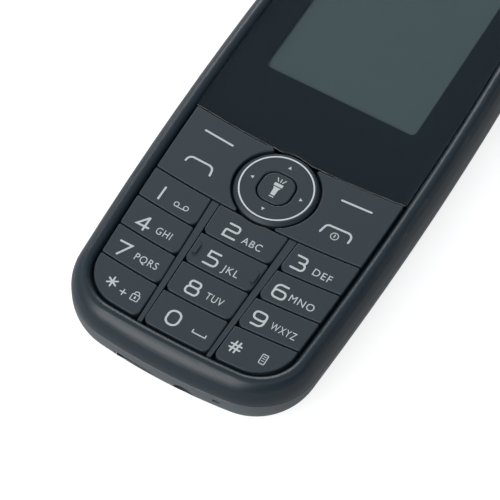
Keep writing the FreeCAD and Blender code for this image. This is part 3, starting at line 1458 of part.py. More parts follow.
def make_card_holders():
    """Two SIM holders side by side and one memory card holder, open to the bay."""
    base = f"({BOARD_BASE} - Dims.holder_height)"

    def holder(name, x, y, width, length):
        outer = box(f"{name}_frame", x, y, base, width, length, "Dims.holder_height")
        inner = box(f"{name}_space", x, f"{y} - Dims.holder_wall", f"{base} - {OUTSIDE}",
                    f"{width} - 2 * Dims.holder_wall", length,
                    f"{OUTSIDE} + Dims.holder_height - Dims.holder_cover")
        return cut(name, outer, inner)

    sims = [holder(f"sim_holder_{index}", f"{side} * Dims.sim_spread", SIM_Y,
                   "Dims.sim_width", "Dims.sim_length") for index, side in ((1, 1), (2, -1))]
    card = holder("memory_card_holder", "0", CARD_Y, "Dims.card_width",
                  "Dims.card_length")
    return [group("sim_holders", sims), card]


def connector_middle():
    """Y of the battery connector, just past the bay's upper end."""
    return (f"({BATTERY_HEAD} + Dims.battery_gap + Dims.connector_gap"
            " + Dims.connector_length / 2)")


def make_battery_connector():
    """Plastic block on the board with three spring contacts for the battery."""
    y = connector_middle()
    base = f"({BATTERY_BASE} + Dims.battery_thickness / 4)"
    block = box("connector_block", "0", y, base, "Dims.connector_width",
                "Dims.connector_length", f"{BOARD_BASE} - {base}")
    spring_y = f"({y} - Dims.connector_length / 2)"
    reach = "(Dims.battery_gap + Dims.connector_gap)"
    slots, springs = [], []
    for index in (-1, 0, 1):
        x = f"{index} * Dims.contact_pitch"
        springs.append(box(f"spring_{index + 2}", x,
                           f"{spring_y} - {reach} / 2 + Dims.contact_width / 2",
                           f"{BATTERY_BASE} + Dims.battery_thickness / 2",
                           "Dims.contact_width", f"{reach} + Dims.contact_width",
                           "Dims.contact_width"))
        slots.append(box(f"spring_slot_{index + 2}", x,
                         f"{spring_y} + Dims.contact_width / 2",
                         f"{BATTERY_BASE} + Dims.battery_thickness / 2",
                         "Dims.contact_width", "Dims.contact_width",
                         "Dims.contact_width"))
    return [cut("battery_connector", block, *slots), group("battery_contacts", springs)]


def make_usb():
    """Steel shell of the micro-USB socket on two legs, and its insulating tongue."""
    mouth = f"({HALF_LENGTH} - Dims.usb_recess)"
    shell = new_body("UsbShell")
    section = new_sketch(shell, "UsbSection", mouth, role="XZ_Plane")
    add_rectangle(section, "Dims.usb_x", "Dims.usb_z", "Dims.usb_shell_width",
                  "Dims.usb_shell_height", "Dims.usb_shell_wall * 2")
    add_rectangle(section, "Dims.usb_x", "Dims.usb_z",
                  "Dims.usb_shell_width - 2 * Dims.usb_shell_wall",
                  "Dims.usb_shell_height - 2 * Dims.usb_shell_wall", "Dims.usb_shell_wall")
    pad(shell, section, "Dims.usb_shell_depth", down=True)
    legs = [box(f"usb_leg_{index}",
                f"Dims.usb_x + {side} * (Dims.usb_shell_width / 2 - Dims.usb_shell_wall * 2)",
                f"Dims.usb_shell_depth * 0.7 - {mouth}",
                "Dims.usb_z + Dims.usb_shell_height / 2 - Dims.usb_shell_wall / 2",
                "Dims.usb_shell_wall", "Dims.usb_shell_depth * 0.4",
                f"{BOARD_BASE} - Dims.usb_z - Dims.usb_shell_height / 2"
                " + Dims.usb_shell_wall / 2")
            for index, side in ((1, 1), (2, -1))]
    inner_width = "(Dims.usb_shell_width - 2 * Dims.usb_shell_wall)"
    inner_height = "(Dims.usb_shell_height - 2 * Dims.usb_shell_wall)"
    back = box("usb_back", "Dims.usb_x", f"Dims.usb_shell_depth * 0.9 - {mouth}",
               f"Dims.usb_z - {inner_height} / 2 + Dims.usb_play",
               f"{inner_width} - 2 * Dims.usb_shell_wall - 2 * Dims.usb_play",
               "Dims.usb_shell_depth * 0.2", f"{inner_height} - 2 * Dims.usb_play")
    tongue = box("usb_blade", "Dims.usb_x", f"Dims.usb_shell_depth / 2 - {mouth}",
                 "Dims.usb_z + Dims.usb_play", f"{inner_width} - 2 * Dims.usb_tongue_margin",
                 "Dims.usb_shell_depth * 0.8", "Dims.usb_tongue_thickness")
    return [fuse("micro_usb_socket", shell, *legs), fuse("usb_tongue", back, tongue)]


def make_jack():
    """Headset socket: a block on the board and a nose that fills the end wall's hole."""
    nose = common("jack_nose",
                  cylinder("jack_nose_blank", "Dims.jack_x", f"-{END_WALL}", "Dims.jack_z",
                           "Dims.jack_nose_radius",
                           f"Dims.jack_body_inset + 2 * {OUTSIDE}", ALONG_Y),
                  rear_form("JackTrim", "(Dims.jack_lip + Dims.jack_seat_gap)"))
    block = box("jack_block", "Dims.jack_x", f"-{JACK_MIDDLE}", JACK_BASE,
                "Dims.jack_body_width", JACK_LENGTH, "Dims.jack_body_height")
    riser = box("jack_riser", "Dims.jack_x", f"-{JACK_MIDDLE}",
                f"{JACK_BASE} + Dims.jack_body_height / 2", "Dims.jack_body_width / 2",
                JACK_LENGTH, f"{BOARD_BASE} - {JACK_BASE} - Dims.jack_body_height / 2")
    bore = cylinder("jack_bore", "Dims.jack_x", f"-{END_WALL}", "Dims.jack_z",
                    "Dims.jack_bore_radius", f"Dims.jack_depth + {OUTSIDE} - Dims.jack_back_wall",
                    ALONG_Y)
    return cut("audio_jack_socket", fuse("jack_solid", nose, block, riser), bore)


def make_microphone():
    """Microphone capsule in a rubber boot behind the end wall's small hole."""
    face = f"({HALF_LENGTH} - Dims.mic_inset)"
    boot_length = "(Dims.mic_thickness + Dims.mic_boot_wall)"
    side = "(2 * Dims.mic_radius + 2 * Dims.mic_boot_wall)"
    base = f"({BOARD_BASE} - {side})"
    block = box("boot_block", "Dims.mic_x", f"{boot_length} / 2 - {face}", base, side,
                boot_length, side)
    middle = f"({base} + {side} / 2)"
    seat = cylinder("boot_seat", "Dims.mic_x", f"Dims.mic_boot_wall - {face}", middle,
                    "Dims.mic_radius", f"Dims.mic_thickness + {OUTSIDE}", ALONG_Y)
    sound_hole = cylinder("boot_hole", "Dims.mic_x", f"-{OUTSIDE} - {face}", middle,
                          "Dims.mic_radius / 3", f"{OUTSIDE} + {boot_length}", ALONG_Y)
    capsule = cylinder("microphone", "Dims.mic_x", f"Dims.mic_boot_wall - {face}", middle,
                       "Dims.mic_radius", "Dims.mic_thickness", ALONG_Y)
    return [capsule, cut("microphone_boot", block, seat, sound_hole)]


def make_torch():
    """Torch diode on the board's upper end and the lens in front of it."""
    lens = common("torch_lens",
                  cylinder("torch_lens_blank", "0", f"{HALF_LENGTH} - Dims.torch_lens_length",
                           "Dims.torch_z", "Dims.torch_radius",
                           f"Dims.torch_lens_length + {OUTSIDE}", ALONG_Y),
                  rear_form("TorchTrim", "Dims.torch_recess"))
    back = f"({HALF_LENGTH} - Dims.torch_lens_length - Dims.torch_gap - Dims.torch_diode_length)"
    diode = cylinder("torch_bulb", "0", back, "Dims.torch_z", "Dims.torch_diode_radius",
                     "Dims.torch_diode_length", ALONG_Y)
    legs = box("torch_legs", "0", f"{back} + Dims.torch_leg_length / 2", "Dims.torch_z",
               "Dims.torch_leg_width", "Dims.torch_leg_length", f"{BOARD_BASE} - Dims.torch_z")
    return [lens, fuse("torch_diode", diode, legs)]


def make_motor():
    """Vibration motor in a rubber cradle; its half-round weight hangs on the shaft."""
    start = "(Dims.motor_x - Dims.motor_length / 2)"
    end = "(Dims.motor_x + Dims.motor_length / 2)"
    can = cylinder("motor_can", start, MOTOR_Y, "Dims.motor_z", "Dims.motor_radius",
                   "Dims.motor_length", ALONG_X)
    shaft_reach = "(Dims.weight_gap + Dims.weight_length)"
    shaft = cylinder("motor_shaft", end, MOTOR_Y, "Dims.motor_z",
                     "Dims.motor_shaft_radius", shaft_reach, ALONG_X)
    motor = fuse("vibration_motor", can, shaft)

    weight_start = f"({end} + Dims.weight_gap)"
    disc = cylinder("weight_disc", weight_start, MOTOR_Y, "Dims.motor_z",
                    "Dims.weight_radius", "Dims.weight_length", ALONG_X)
    upper = box("weight_upper", f"{weight_start} + Dims.weight_length / 2", MOTOR_Y,
                "Dims.motor_z + Dims.motor_shaft_radius * 2",
                f"Dims.weight_length + 2 * {OUTSIDE}", "Dims.weight_radius * 3",
                "Dims.weight_radius * 2")
    hub = cylinder("weight_bore", f"{weight_start} - {OUTSIDE}", MOTOR_Y,
                   "Dims.motor_z", "Dims.motor_shaft_radius + Dims.weight_play",
                   f"Dims.weight_length + 2 * {OUTSIDE}", ALONG_X)
    weight = cut("motor_weight", disc, upper, hub)

    cradle = box("cradle_block", "Dims.motor_x", MOTOR_Y, "Dims.motor_z",
                 "Dims.motor_length - 2 * Dims.motor_boot_wall",
                 "2 * Dims.motor_radius + 2 * Dims.motor_boot_wall",
                 f"{BOARD_BASE} - Dims.motor_z")
    boot = cut("motor_boot", cradle,
               cylinder("cradle_seat", f"{start} - {OUTSIDE}", MOTOR_Y, "Dims.motor_z",
                        "Dims.motor_radius", f"Dims.motor_length + 2 * {OUTSIDE}", ALONG_X))
    return [motor, weight, boot]


def make_loudspeaker():
    """Loudspeaker behind the back's slots, with the antenna sheet on top of it."""
    speaker = new_body("loudspeaker")
    outline = new_sketch(speaker, "SpeakerOutline", "Dims.rear_wall + Dims.cover_gap")
    add_rectangle(outline, "0", SPEAKER_Y, "Dims.speaker_width",
                  "Dims.speaker_length", "Dims.speaker_length / 5")
    pad(speaker, outline, "Dims.speaker_thickness")
    antenna_base = "(Dims.rear_wall + Dims.cover_gap + Dims.speaker_thickness)"
    sheet_plate = box("antenna_plate", "0", SPEAKER_Y, antenna_base,
                      "Dims.antenna_width", "Dims.antenna_length", "Dims.antenna_thickness")
    gap = box("antenna_gap", "0", f"{SPEAKER_Y} - Dims.antenna_length / 3",
              f"{antenna_base} - {OUTSIDE}", "Dims.antenna_width - 2 * Dims.antenna_track",
              "Dims.antenna_length", f"2 * {OUTSIDE}")
    tail = box("antenna_tail", "(Dims.antenna_width - Dims.antenna_track) / 2",
               f"{SPEAKER_Y} + Dims.antenna_length / 2 - Dims.antenna_spring", antenna_base,
               "Dims.antenna_spring", "Dims.antenna_spring", f"{BOARD_BASE} - {antenna_base}")
    return [speaker, fuse("antenna", cut("antenna_sheet", sheet_plate, gap), tail)]


def make_battery():
    """Flat rechargeable battery that fills the bay."""
    body = new_body("battery")
    outline = new_sketch(body, "BatteryOutline", BATTERY_BASE)
    add_rectangle(outline, "0", BATTERY_Y, "Dims.battery_width",
                  BATTERY_LENGTH, "Dims.battery_corner")
    pad(body, outline, "Dims.battery_thickness")
    levels = (worth(BATTERY_BASE), worth(f"{BATTERY_BASE} + Dims.battery_thickness"))
    fillet(body, lambda edge: any(lies_at(edge, level) for level in levels),
           "Dims.battery_edge")
    return body


# ------------------------------------------------------------------------------------------
# The phone, piece by piece, and its files
# ------------------------------------------------------------------------------------------

nodes = [make_front_housing(), *make_back(), make_screws()]
nodes += [*make_window(), *make_display(), *make_earpiece()]
nodes += [make_key(row, column) for row in range(LAST_ROW + 1) for column in range(3)]
nodes += [make_plate("function_plate_right", 1), make_plate("function_plate_left", -1)]
nodes += make_nav()
nodes += [make_keypad_frame(), make_mat(), make_dome_sheet(), make_lights(), make_board()]
nodes += [shield("lower_shield", LOWER_SHIELD_Y, "Dims.lower_shield_width",
                 "Dims.lower_shield_length"),
          shield("upper_shield", UPPER_SHIELD_Y, "Dims.upper_shield_width",
                 "Dims.upper_shield_length")]
nodes += [*make_card_holders(), *make_battery_connector(), *make_usb(), make_jack()]
nodes += [*make_microphone(), *make_torch(), *make_motor(), *make_loudspeaker()]
nodes.append(make_battery())
doc.recompute()

for item in doc.Objects:
    if "Invalid" in item.State or "Error" in item.State:
        raise RuntimeError(f"{item.Name} failed: {item.State}")
os.makedirs("parts", exist_ok=True)
for node in nodes:
    if node.Shape.isNull() or not node.Shape.isValid():
        raise RuntimeError(f"{node.Label} has no valid shape")
    node.Shape.exportStep(f"parts/{node.Label}.step")
    print(f"{node.Label}: {len(node.Shape.Solids)} solid(s), {node.Shape.Volume:.2f} mm3")
print(len(nodes), "nodes")
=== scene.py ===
import bmesh
import bpy
import math
from mathutils import Matrix, Vector


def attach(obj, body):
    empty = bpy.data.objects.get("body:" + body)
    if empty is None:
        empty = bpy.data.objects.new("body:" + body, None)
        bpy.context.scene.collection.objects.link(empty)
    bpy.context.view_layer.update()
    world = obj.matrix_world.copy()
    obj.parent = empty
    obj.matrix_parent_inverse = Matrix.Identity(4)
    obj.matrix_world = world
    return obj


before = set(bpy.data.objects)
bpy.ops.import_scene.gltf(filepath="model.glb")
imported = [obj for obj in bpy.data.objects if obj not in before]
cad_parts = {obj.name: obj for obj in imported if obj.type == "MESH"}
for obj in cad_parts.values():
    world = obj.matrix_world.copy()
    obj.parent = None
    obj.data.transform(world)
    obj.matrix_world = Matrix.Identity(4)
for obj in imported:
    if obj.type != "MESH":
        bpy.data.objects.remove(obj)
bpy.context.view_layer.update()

# Camera: a long lens above the keypad end, turned a little round the phone.
view_camera = bpy.data.objects.new("view_camera", bpy.data.cameras.new("view_camera"))
bpy.context.scene.collection.objects.link(view_camera)
view_camera.location = (0.110615, -0.230512, 0.378531)
view_camera.rotation_euler = [math.radians(turn) for turn in (31.7589, -0.9786, 30.1747)]
view_camera.data.lens = 187.48
view_camera.data.sensor_width = 36
bpy.context.scene.camera = view_camera


# Main board: glass-fibre epoxy laminate, 0.8 mm thick, under green solder resist.
# It is routed to the shape of the inside and clamped between the two housings.
def linear(code):
    """An sRGB hex colour as the linear colour that a shader takes."""
    channels = [int(code[i:i + 2], 16) / 255 for i in (1, 3, 5)]
    return [c / 12.92 if c < 0.04045 else ((c + 0.055) / 1.055) ** 2.4 for c in channels] + [1]


def add(tree, kind, settings=(), links=()):
    """Adds a node: settings by property, or by a socket's name or number, and links by socket."""
    node = tree.nodes.new("ShaderNode" + kind)
    for name, value in dict(settings).items():
        if isinstance(name, int) or name in node.inputs:
            node.inputs[name].default_value = value
        else:
            setattr(node, name, value)
    for name, source in dict(links).items():
        tree.links.new(source, node.inputs[name])
    return node


def new_finish(name):
    """An empty material's node tree, and the place on the phone that its patterns follow."""
    tree = bpy.data.materials.new(name).node_tree
    if tree is None:
        bpy.data.materials[name].use_nodes = True
        tree = bpy.data.materials[name].node_tree
    tree.nodes.clear()
    return tree, add(tree, "TexCoord").outputs["Object"]


def shades(tree, colour, depth, pattern):
    """The colour going lighter and darker by that share as the pattern goes from 0 to 1."""
    dark, light = ([c * (1 + side * depth) for c in linear(colour)[:3]] + [1] for side in (-1, 1))
    mix = add(tree, "Mix", {"data_type": "RGBA", 6: dark, 7: light}, {0: pattern})
    return mix.outputs[2]


def give(name, *nodes):
    """The CAD nodes take that finish."""
    for node in nodes:
        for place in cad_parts[node].material_slots:
            place.material = bpy.data.materials[name]


mm_in_metre = 1000
wave_scale = mm_in_metre / math.tau * 2  # one band of this texture is about a third of its unit
tree, place = new_finish("solder_resist")
cloth_pitch = 0.5
cloth = [add(tree, "TexWave", {"bands_direction": across, "Scale": wave_scale / cloth_pitch},
             {"Vector": place}).outputs["Fac"] for across in ("X", "Y")]
weave = add(tree, "Math", {"operation": "MAXIMUM"}, {0: cloth[0], 1: cloth[1]}).outputs[0]
bump = add(tree, "Bump", {"Strength": 0.4, "Distance": 0.00001}, {"Height": weave})
shader = add(tree, "BsdfPrincipled", {"Roughness": 0.3, "IOR": 1.55},
             {"Base Color": shades(tree, "#10502f", 0.1, weave), "Normal": bump.outputs[0]})
add(tree, "OutputMaterial", (), {"Surface": shader.outputs[0]})
give("solder_resist", "main_board")


# Shield cans: drawn from 0.2 mm tinned steel and soldered over the radio and the processor.
# The tin is dull-bright, with faint rolling lines along the strip.
def rolled_metal(name, colour, roughness, line, along=(1, 40, 1)):
    """Sheet metal with rolling lines of that width in mm, drawn out along one axis."""
    roughness_spread = 0.08
    tree, place = new_finish(name)
    drawn = add(tree, "Mapping", {"Scale": [mm_in_metre / line / share for share in along]},
                {"Vector": place}).outputs[0]
    lines = add(tree, "TexNoise", {"Scale": 1.0, "Detail": 2.0}, {"Vector": drawn}).outputs["Fac"]
    rough = add(tree, "MapRange", {"To Min": roughness - roughness_spread,
                                   "To Max": roughness + roughness_spread},
                {"Value": lines}).outputs[0]
    bump = add(tree, "Bump", {"Strength": 0.3, "Distance": 0.000005}, {"Height": lines})
    shader = add(tree, "BsdfPrincipled", {"Metallic": 1.0},
                 {"Base Color": shades(tree, colour, 0.06, lines), "Roughness": rough,
                  "Normal": bump.outputs[0]})
    add(tree, "OutputMaterial", (), {"Surface": shader.outputs[0]})


rolled_metal("tinned_steel", "#b9b8b2", 0.35, 0.08)
give("tinned_steel", "upper_shield", "lower_shield")

# Card holders: stamped stainless spring steel, soldered to the back of the board.
# The SIM cards and the memory card slide in under them once the cover is off.
rolled_metal("stamped_stainless", "#c3c5c6", 0.28, 0.06, (40, 1, 1))
give("stamped_stainless", "sim_holders", "memory_card_holder")


# Battery connector: a black heat-proof moulding on the board, with three gold-plated springs.
# The springs press on the pads of the battery's end.
def moulded(name, colour, roughness, grain, depth, mottle=0.08):
    """Moulded plastic or rubber, with a spark-eroded grain and depth in mm over the whole face."""
    roughness_spread = 0.06
    tree, place = new_finish(name)
    grains = add(tree, "TexNoise", {"Scale": mm_in_metre / grain, "Detail": 3.0},
                 {"Vector": place}).outputs["Fac"]
    rough = add(tree, "MapRange", {"To Min": roughness - roughness_spread,
                                   "To Max": roughness + roughness_spread},
                {"Value": grains}).outputs[0]
    bump = add(tree, "Bump", {"Strength": 1.0, "Distance": depth / mm_in_metre}, {"Height": grains})
    shader = add(tree, "BsdfPrincipled", {"IOR": 1.5},
                 {"Base Color": shades(tree, colour, mottle, grains), "Roughness": rough,
                  "Normal": bump.outputs[0]})
    add(tree, "OutputMaterial", (), {"Surface": shader.outputs[0]})


moulded("black_liquid_crystal_polymer", "#15171a", 0.5, 0.25, 0.002)
give("black_liquid_crystal_polymer", "battery_connector", "usb_tongue")
rolled_metal("gold_plating", "#dcae5c", 0.22, 0.05)
give("gold_plating", "battery_contacts")

# Micro-USB socket: a shell folded from nickel-plated steel round a moulded tongue.
# It stands on the board behind the slot of the end wall.
rolled_metal("nickel_plating", "#c8c4ba", 0.25, 0.05)
give("nickel_plating", "micro_usb_socket", "microphone")

# Headset socket: one black nylon moulding with its springs inside, soldered to the board.
# Its nose sits in the end wall, so the hole is black right to the rim.
moulded("black_nylon", "#111214", 0.42, 0.3, 0.002)
give("black_nylon", "audio_jack_socket")

# Microphone: a small nickel-plated can in a soft boot that seals it to the end wall.
# Silicone rubber, moulded without gloss.
moulded("black_silicone", "#141516", 0.75, 0.2, 0.003)
give("black_silicone", "microphone_boot", "motor_boot")

# Torch: a white diode at the end of the board, behind a clear lens that snaps into the end wall.
# The diode's face is yellow with its phosphor; the lens is polished polycarbonate.
tree, place = new_finish("phosphor_epoxy")
phosphor_grain = 0.1
crystals = add(tree, "TexVoronoi", {"Scale": mm_in_metre / phosphor_grain}, {"Vector": place})
shader = add(tree, "BsdfPrincipled", {"Roughness": 0.35, "IOR": 1.5, "Coat Weight": 0.4},
             {"Base Color": shades(tree, "#e2d487", 0.12, crystals.outputs["Distance"])})
add(tree, "OutputMaterial", (), {"Surface": shader.outputs[0]})
give("phosphor_epoxy", "torch_diode", "keypad_lights")


def polished_clear(name, colour, ior, ripple):
    """Clear polished plastic: light for what lies behind it passes straight through."""
    tree, place = new_finish(name)
    waves = add(tree, "TexNoise", {"Scale": mm_in_metre / ripple, "Detail": 1.0}, {"Vector": place})
    bump = add(tree, "Bump", {"Strength": 0.1, "Distance": 0.00001},
               {"Height": waves.outputs["Fac"]})
    shader = add(tree, "BsdfPrincipled", {"Base Color": linear(colour), "Roughness": 0.01,
                                          "IOR": ior, "Transmission Weight": 1.0},
                 {"Normal": bump.outputs[0]})
    clear = add(tree, "BsdfTransparent", {"Color": linear(colour)})
    through = add(tree, "MixShader", (), {0: add(tree, "LightPath").outputs["Is Shadow Ray"],
                                          1: shader.outputs[0], 2: clear.outputs[0]})
    add(tree, "OutputMaterial", (), {"Surface": through.outputs[0]})


polished_clear("clear_polycarbonate", "#f4f6f6", 1.585, 3.0)
give("clear_polycarbonate", "torch_lens")

# Vibration motor: a drawn steel can, lying in a silicone boot glued to the board.
# A half-round weight of sintered tungsten turns on its shaft.
rolled_metal("drawn_steel_can", "#a9abad", 0.3, 0.06, (40, 1, 1))
give("drawn_steel_can", "vibration_motor")
rolled_metal("sintered_tungsten", "#8a8c8f", 0.5, 0.15, (1, 1, 1))
give("sintered_tungsten", "motor_weight")

# Loudspeaker and earpiece: a coil and a cone in a black glass-filled frame each.
# The glass fibres leave the moulding dull and slightly streaked.
moulded("glass_filled_nylon", "#1a1b1d", 0.6, 0.35, 0.004, 0.15)
give("glass_filled_nylon", "loudspeaker", "earpiece_receiver")

# Antenna: gold-plated copper on a plastic carrier, at the end away from the keypad.
# Two springs carry the signal from the board.
rolled_metal("plated_antenna", "#d8b067", 0.3, 0.1, (40, 1, 1))
give("plated_antenna", "antenna")

# Display: a liquid crystal panel on a white frame with the lamp film, joined by an amber ribbon.
# Unlit, it is a flat grey-green face; the grid of its dots is drawn at 0.22 mm, its real pitch.
tree, place = new_finish("unlit_display_glass")
dot_pitch = 0.22
dots = add(tree, "TexBrick", {"Scale": mm_in_metre / dot_pitch, "Brick Width": 1.0,
                              "Row Height": 1.0, "Mortar Size": 0.06, "offset": 0.0,
                              "Color1": linear("#ffffff"), "Color2": linear("#f4f4f4"),
                              "Mortar": linear("#d8d8d8")},
           {"Vector": place})
shader = add(tree, "BsdfPrincipled", {"Roughness": 0.25, "IOR": 1.5},
             {"Base Color": shades(tree, "#4b5556", 0.06, dots.outputs["Color"])})
add(tree, "OutputMaterial", (), {"Surface": shader.outputs[0]})
give("unlit_display_glass", "lcd_panel")
moulded("white_polycarbonate", "#e4e6e6", 0.4, 0.3, 0.001, 0.02)
give("white_polycarbonate", "lcd_backlight")
tree, place = new_finish("polyimide_ribbon")
track_pitch = 0.5
tracks = add(tree, "TexWave", {"bands_direction": "X", "Scale": wave_scale / track_pitch},
             {"Vector": place}).outputs["Fac"]
bump = add(tree, "Bump", {"Strength": 0.6, "Distance": 0.00002}, {"Height": tracks})
shader = add(tree, "BsdfPrincipled", {"Roughness": 0.25, "IOR": 1.6},
             {"Base Color": shades(tree, "#a86424", 0.35, tracks), "Normal": bump.outputs[0]})
add(tree, "OutputMaterial", (), {"Surface": shader.outputs[0]})
give("polyimide_ribbon", "lcd_ribbon")

# Keypad mat, dome sheet and key lights: a milky silicone sheet over a film of steel snap domes.
# The mat carries the keys, and lets the light of the diodes through to them.
tree, place = new_finish("milky_silicone")
haze_size = 2.0
haze = add(tree, "TexNoise", {"Scale": mm_in_metre / haze_size}, {"Vector": place}).outputs["Fac"]
shader = add(tree, "BsdfPrincipled", {"Roughness": 0.6, "IOR": 1.41, "Subsurface Weight": 0.3,
                                      "Subsurface Scale": 0.001},
             {"Base Color": shades(tree, "#c9cac6", 0.05, haze)})
add(tree, "OutputMaterial", (), {"Surface": shader.outputs[0]})
give("milky_silicone", "keypad_mat")
rolled_metal("dome_film", "#bfc1c2", 0.3, 0.08)
give("dome_film", "dome_sheet")

# Front housing: acrylonitrile-butadiene-styrene, moulded in dark blue-grey.
# Satin, with a fine spark-eroded grain that breaks the light up at grazing angles;
# the grain is really 0.1 mm, and is drawn at 0.3 mm so that it shows.
moulded("moulded_abs", "#1c2932", 0.36, 0.3, 0.004)
give("moulded_abs", "front_housing")

# Earpiece cloth: black polyester mesh glued over the slot, woven at 0.15 mm.
# It is drawn at 0.3 mm so that the threads show.
tree, place = new_finish("woven_polyester")
thread_pitch = 0.3
threads = [add(tree, "TexWave", {"bands_direction": across, "Scale": wave_scale / thread_pitch},
               {"Vector": place}).outputs["Fac"] for across in ("X", "Y")]
mesh_weave = add(tree, "Math", {"operation": "MULTIPLY"}, {0: threads[0], 1: threads[1]}).outputs[0]
bump = add(tree, "Bump", {"Strength": 1.0, "Distance": 0.00005}, {"Height": mesh_weave})
shader = add(tree, "BsdfPrincipled", {"Roughness": 0.8, "Sheen Weight": 0.3},
             {"Base Color": shades(tree, "#232527", 0.6, mesh_weave), "Normal": bump.outputs[0]})
add(tree, "OutputMaterial", (), {"Surface": shader.outputs[0]})
give("woven_polyester", "earpiece_mesh")

# Display window: one pane of clear hard-coated acrylic in the front housing's seat.
# Its border is screen-printed black on the back, so the ink has no gloss of its own;
# foam tape holds the pane down.
tree, place = new_finish("black_screen_print")
screen_pitch = 0.2
screen_mesh = add(tree, "TexNoise", {"Scale": mm_in_metre / screen_pitch},
                  {"Vector": place}).outputs["Fac"]
shader = add(tree, "BsdfPrincipled", {"Roughness": 0.8, "Specular IOR Level": 0.0},
             {"Base Color": shades(tree, "#1c2429", 0.05, screen_mesh)})
add(tree, "OutputMaterial", (), {"Surface": shader.outputs[0]})
give("black_screen_print", "window_mask")
moulded("black_foam_tape", "#1b1b1b", 0.9, 0.15, 0.01)
give("black_foam_tape", "window_adhesive")
polished_clear("clear_acrylic", "#e4eaec", 1.36, 25.0)
give("clear_acrylic", "display_window")

# Keypad frame: the two bars between the key columns and the rim round them.
# Moulded with the front housing's grain in the keys' grey, and held under its edge.
moulded("keypad_frame_abs", "#2a343c", 0.5, 0.3, 0.003)
give("keypad_frame_abs", "keypad_frame")

# Keys: twelve caps moulded from polycarbonate, sprayed satin blue-grey, glued to the mat.
# Their signs are pad-printed in white ink, and each moves with its own cap.
# The caps' tops and the ink's thickness are in metres; the signs are drawn in millimetres.
key_top = 0.0129
ink_thickness = 0.00002
letter_height = 1.35
font_cap_height = 0.682
corner_steps = 6
shortest_step = 0.001
stroke_lift = 0.001
moulded("sprayed_polycarbonate", "#27323a", 0.5, 0.25, 0.002, 0.05)
give("sprayed_polycarbonate", *[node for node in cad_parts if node.startswith("key_")])
moulded("white_pad_print", "#c2c8c9", 0.5, 0.15, 0.001, 0.04)


def turned_corners(points, closed):
    """The line through (x, y, corner radius) points in mm, with its corners rounded."""
    line = []
    for i, (x, y, radius) in enumerate(points):
        corner = Vector((x, y))
        if radius == 0:
            line.append(corner)
            continue
        back = (Vector(points[i - 1][:2]) - corner).normalized()
        ahead = (Vector(points[(i + 1) % len(points)][:2]) - corner).normalized()
        half = back.angle(ahead) / 2
        centre = corner + (back + ahead).normalized() * radius / math.sin(half)
        start, end = (corner + way * radius / math.tan(half) - centre for way in (back, ahead))
        for step in range(corner_steps + 1):
            line.append(centre + radius * start.slerp(end, step / corner_steps).normalized())
    kept = [p for i, p in enumerate(line) if i == 0 or (p - line[i - 1]).length > shortest_step]
    return kept[:-1] if closed and (kept[0] - kept[-1]).length < shortest_step else kept


def draw_line(sign, at, width, points):
    """Adds a stroke of that width in mm; it closes if its first corner is rounded."""
    closed = points[0][2] > 0
    line = turned_corners(points, closed)
    count = len(line)
    lift = max((v.co.z for v in sign.verts), default=0) + stroke_lift
    sides = []
    for i, point in enumerate(line):
        before = line[i - 1] if i or closed else None
        after = line[(i + 1) % count] if i < count - 1 or closed else None
        into = (point - before).normalized() if before else (after - point).normalized()
        out = (after - point).normalized() if after else into
        side = (into.orthogonal() + out.orthogonal()).normalized()
        reach = side * width / 2 / side.dot(into.orthogonal())
        sides.append([sign.verts.new((*(Vector(at) + point + way * reach), lift))
                      for way in (1, -1)])
    for i in range(count if closed else count - 1):
        (a, b), (c, d) = sides[i], sides[(i + 1) % count]
        sign.faces.new((a, b, d, c))
    if not closed:
        for end, inward in ((0, line[1] - line[0]), (count - 1, line[-2] - line[-1])):
            a, b = sides[end]
            round_end = [a]
            centre = Vector(at) + line[end]
            arm = a.co.xy - centre
            turn = -1 if arm.cross(inward) < 0 else 1
            for step in range(1, corner_steps):
                spoke = Matrix.Rotation(-turn * math.pi * step / corner_steps, 2) @ arm
                round_end.append(sign.verts.new((*(centre + spoke), lift)))
            sign.faces.new(round_end + [b])


def draw_word(sign, word, at, width):
    """Adds letters, set to that width in mm in Blender's own typeface."""
    letters = bpy.data.curves.new(word, "FONT")
    letters.body = word
    letters.space_character = 1.15
    letters.fill_mode = "FRONT"
    setting = bpy.data.objects.new(word, letters)
    printed = bpy.data.meshes.new_from_object(setting)
    left, right = (end(v.co.x for v in printed.vertices) for end in (min, max))
    across, up = width / (right - left), letter_height / font_cap_height
    printed.transform(Matrix.Translation((*at, 0)) @ Matrix.Diagonal((across, up, 1, 1))
                      @ Matrix.Translation((-(left + right) / 2, -font_cap_height / 2, 0)))
    sign.from_mesh(printed)
    bpy.data.objects.remove(setting)
    bpy.data.meshes.remove(printed)


def print_sign(name, body, top, strokes, patches=(), word=()):
    """Draws strokes, filled shapes and a word, as a film of ink on that body's top face."""
    sign = bmesh.new()
    if word:
        draw_word(sign, *word)
    for stroke in strokes:
        draw_line(sign, *stroke)
    for points in patches:
        sign.faces.new([sign.verts.new((x, y, 0)) for x, y in points])
    bmesh.ops.remove_doubles(sign, verts=sign.verts, dist=stroke_lift / 2)
    grown = bmesh.ops.extrude_face_region(sign, geom=sign.faces[:])["geom"]
    bmesh.ops.translate(sign, verts=[v for v in grown if isinstance(v, bmesh.types.BMVert)],
                        vec=(0, 0, 2 * ink_thickness * mm_in_metre))
    bmesh.ops.recalc_face_normals(sign, faces=sign.faces[:])
    to_metres = Matrix.Diagonal([1 / mm_in_metre] * 3 + [1])
    bmesh.ops.transform(sign, verts=sign.verts[:],
                        matrix=Matrix.Translation((0, 0, top - ink_thickness)) @ to_metres)
    ink = bpy.data.meshes.new(name)
    sign.to_mesh(ink)
    sign.free()
    ink.materials.append(bpy.data.materials["white_pad_print"])
    piece = bpy.data.objects.new(name, ink)
    bpy.context.scene.collection.objects.link(piece)
    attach(piece, body)


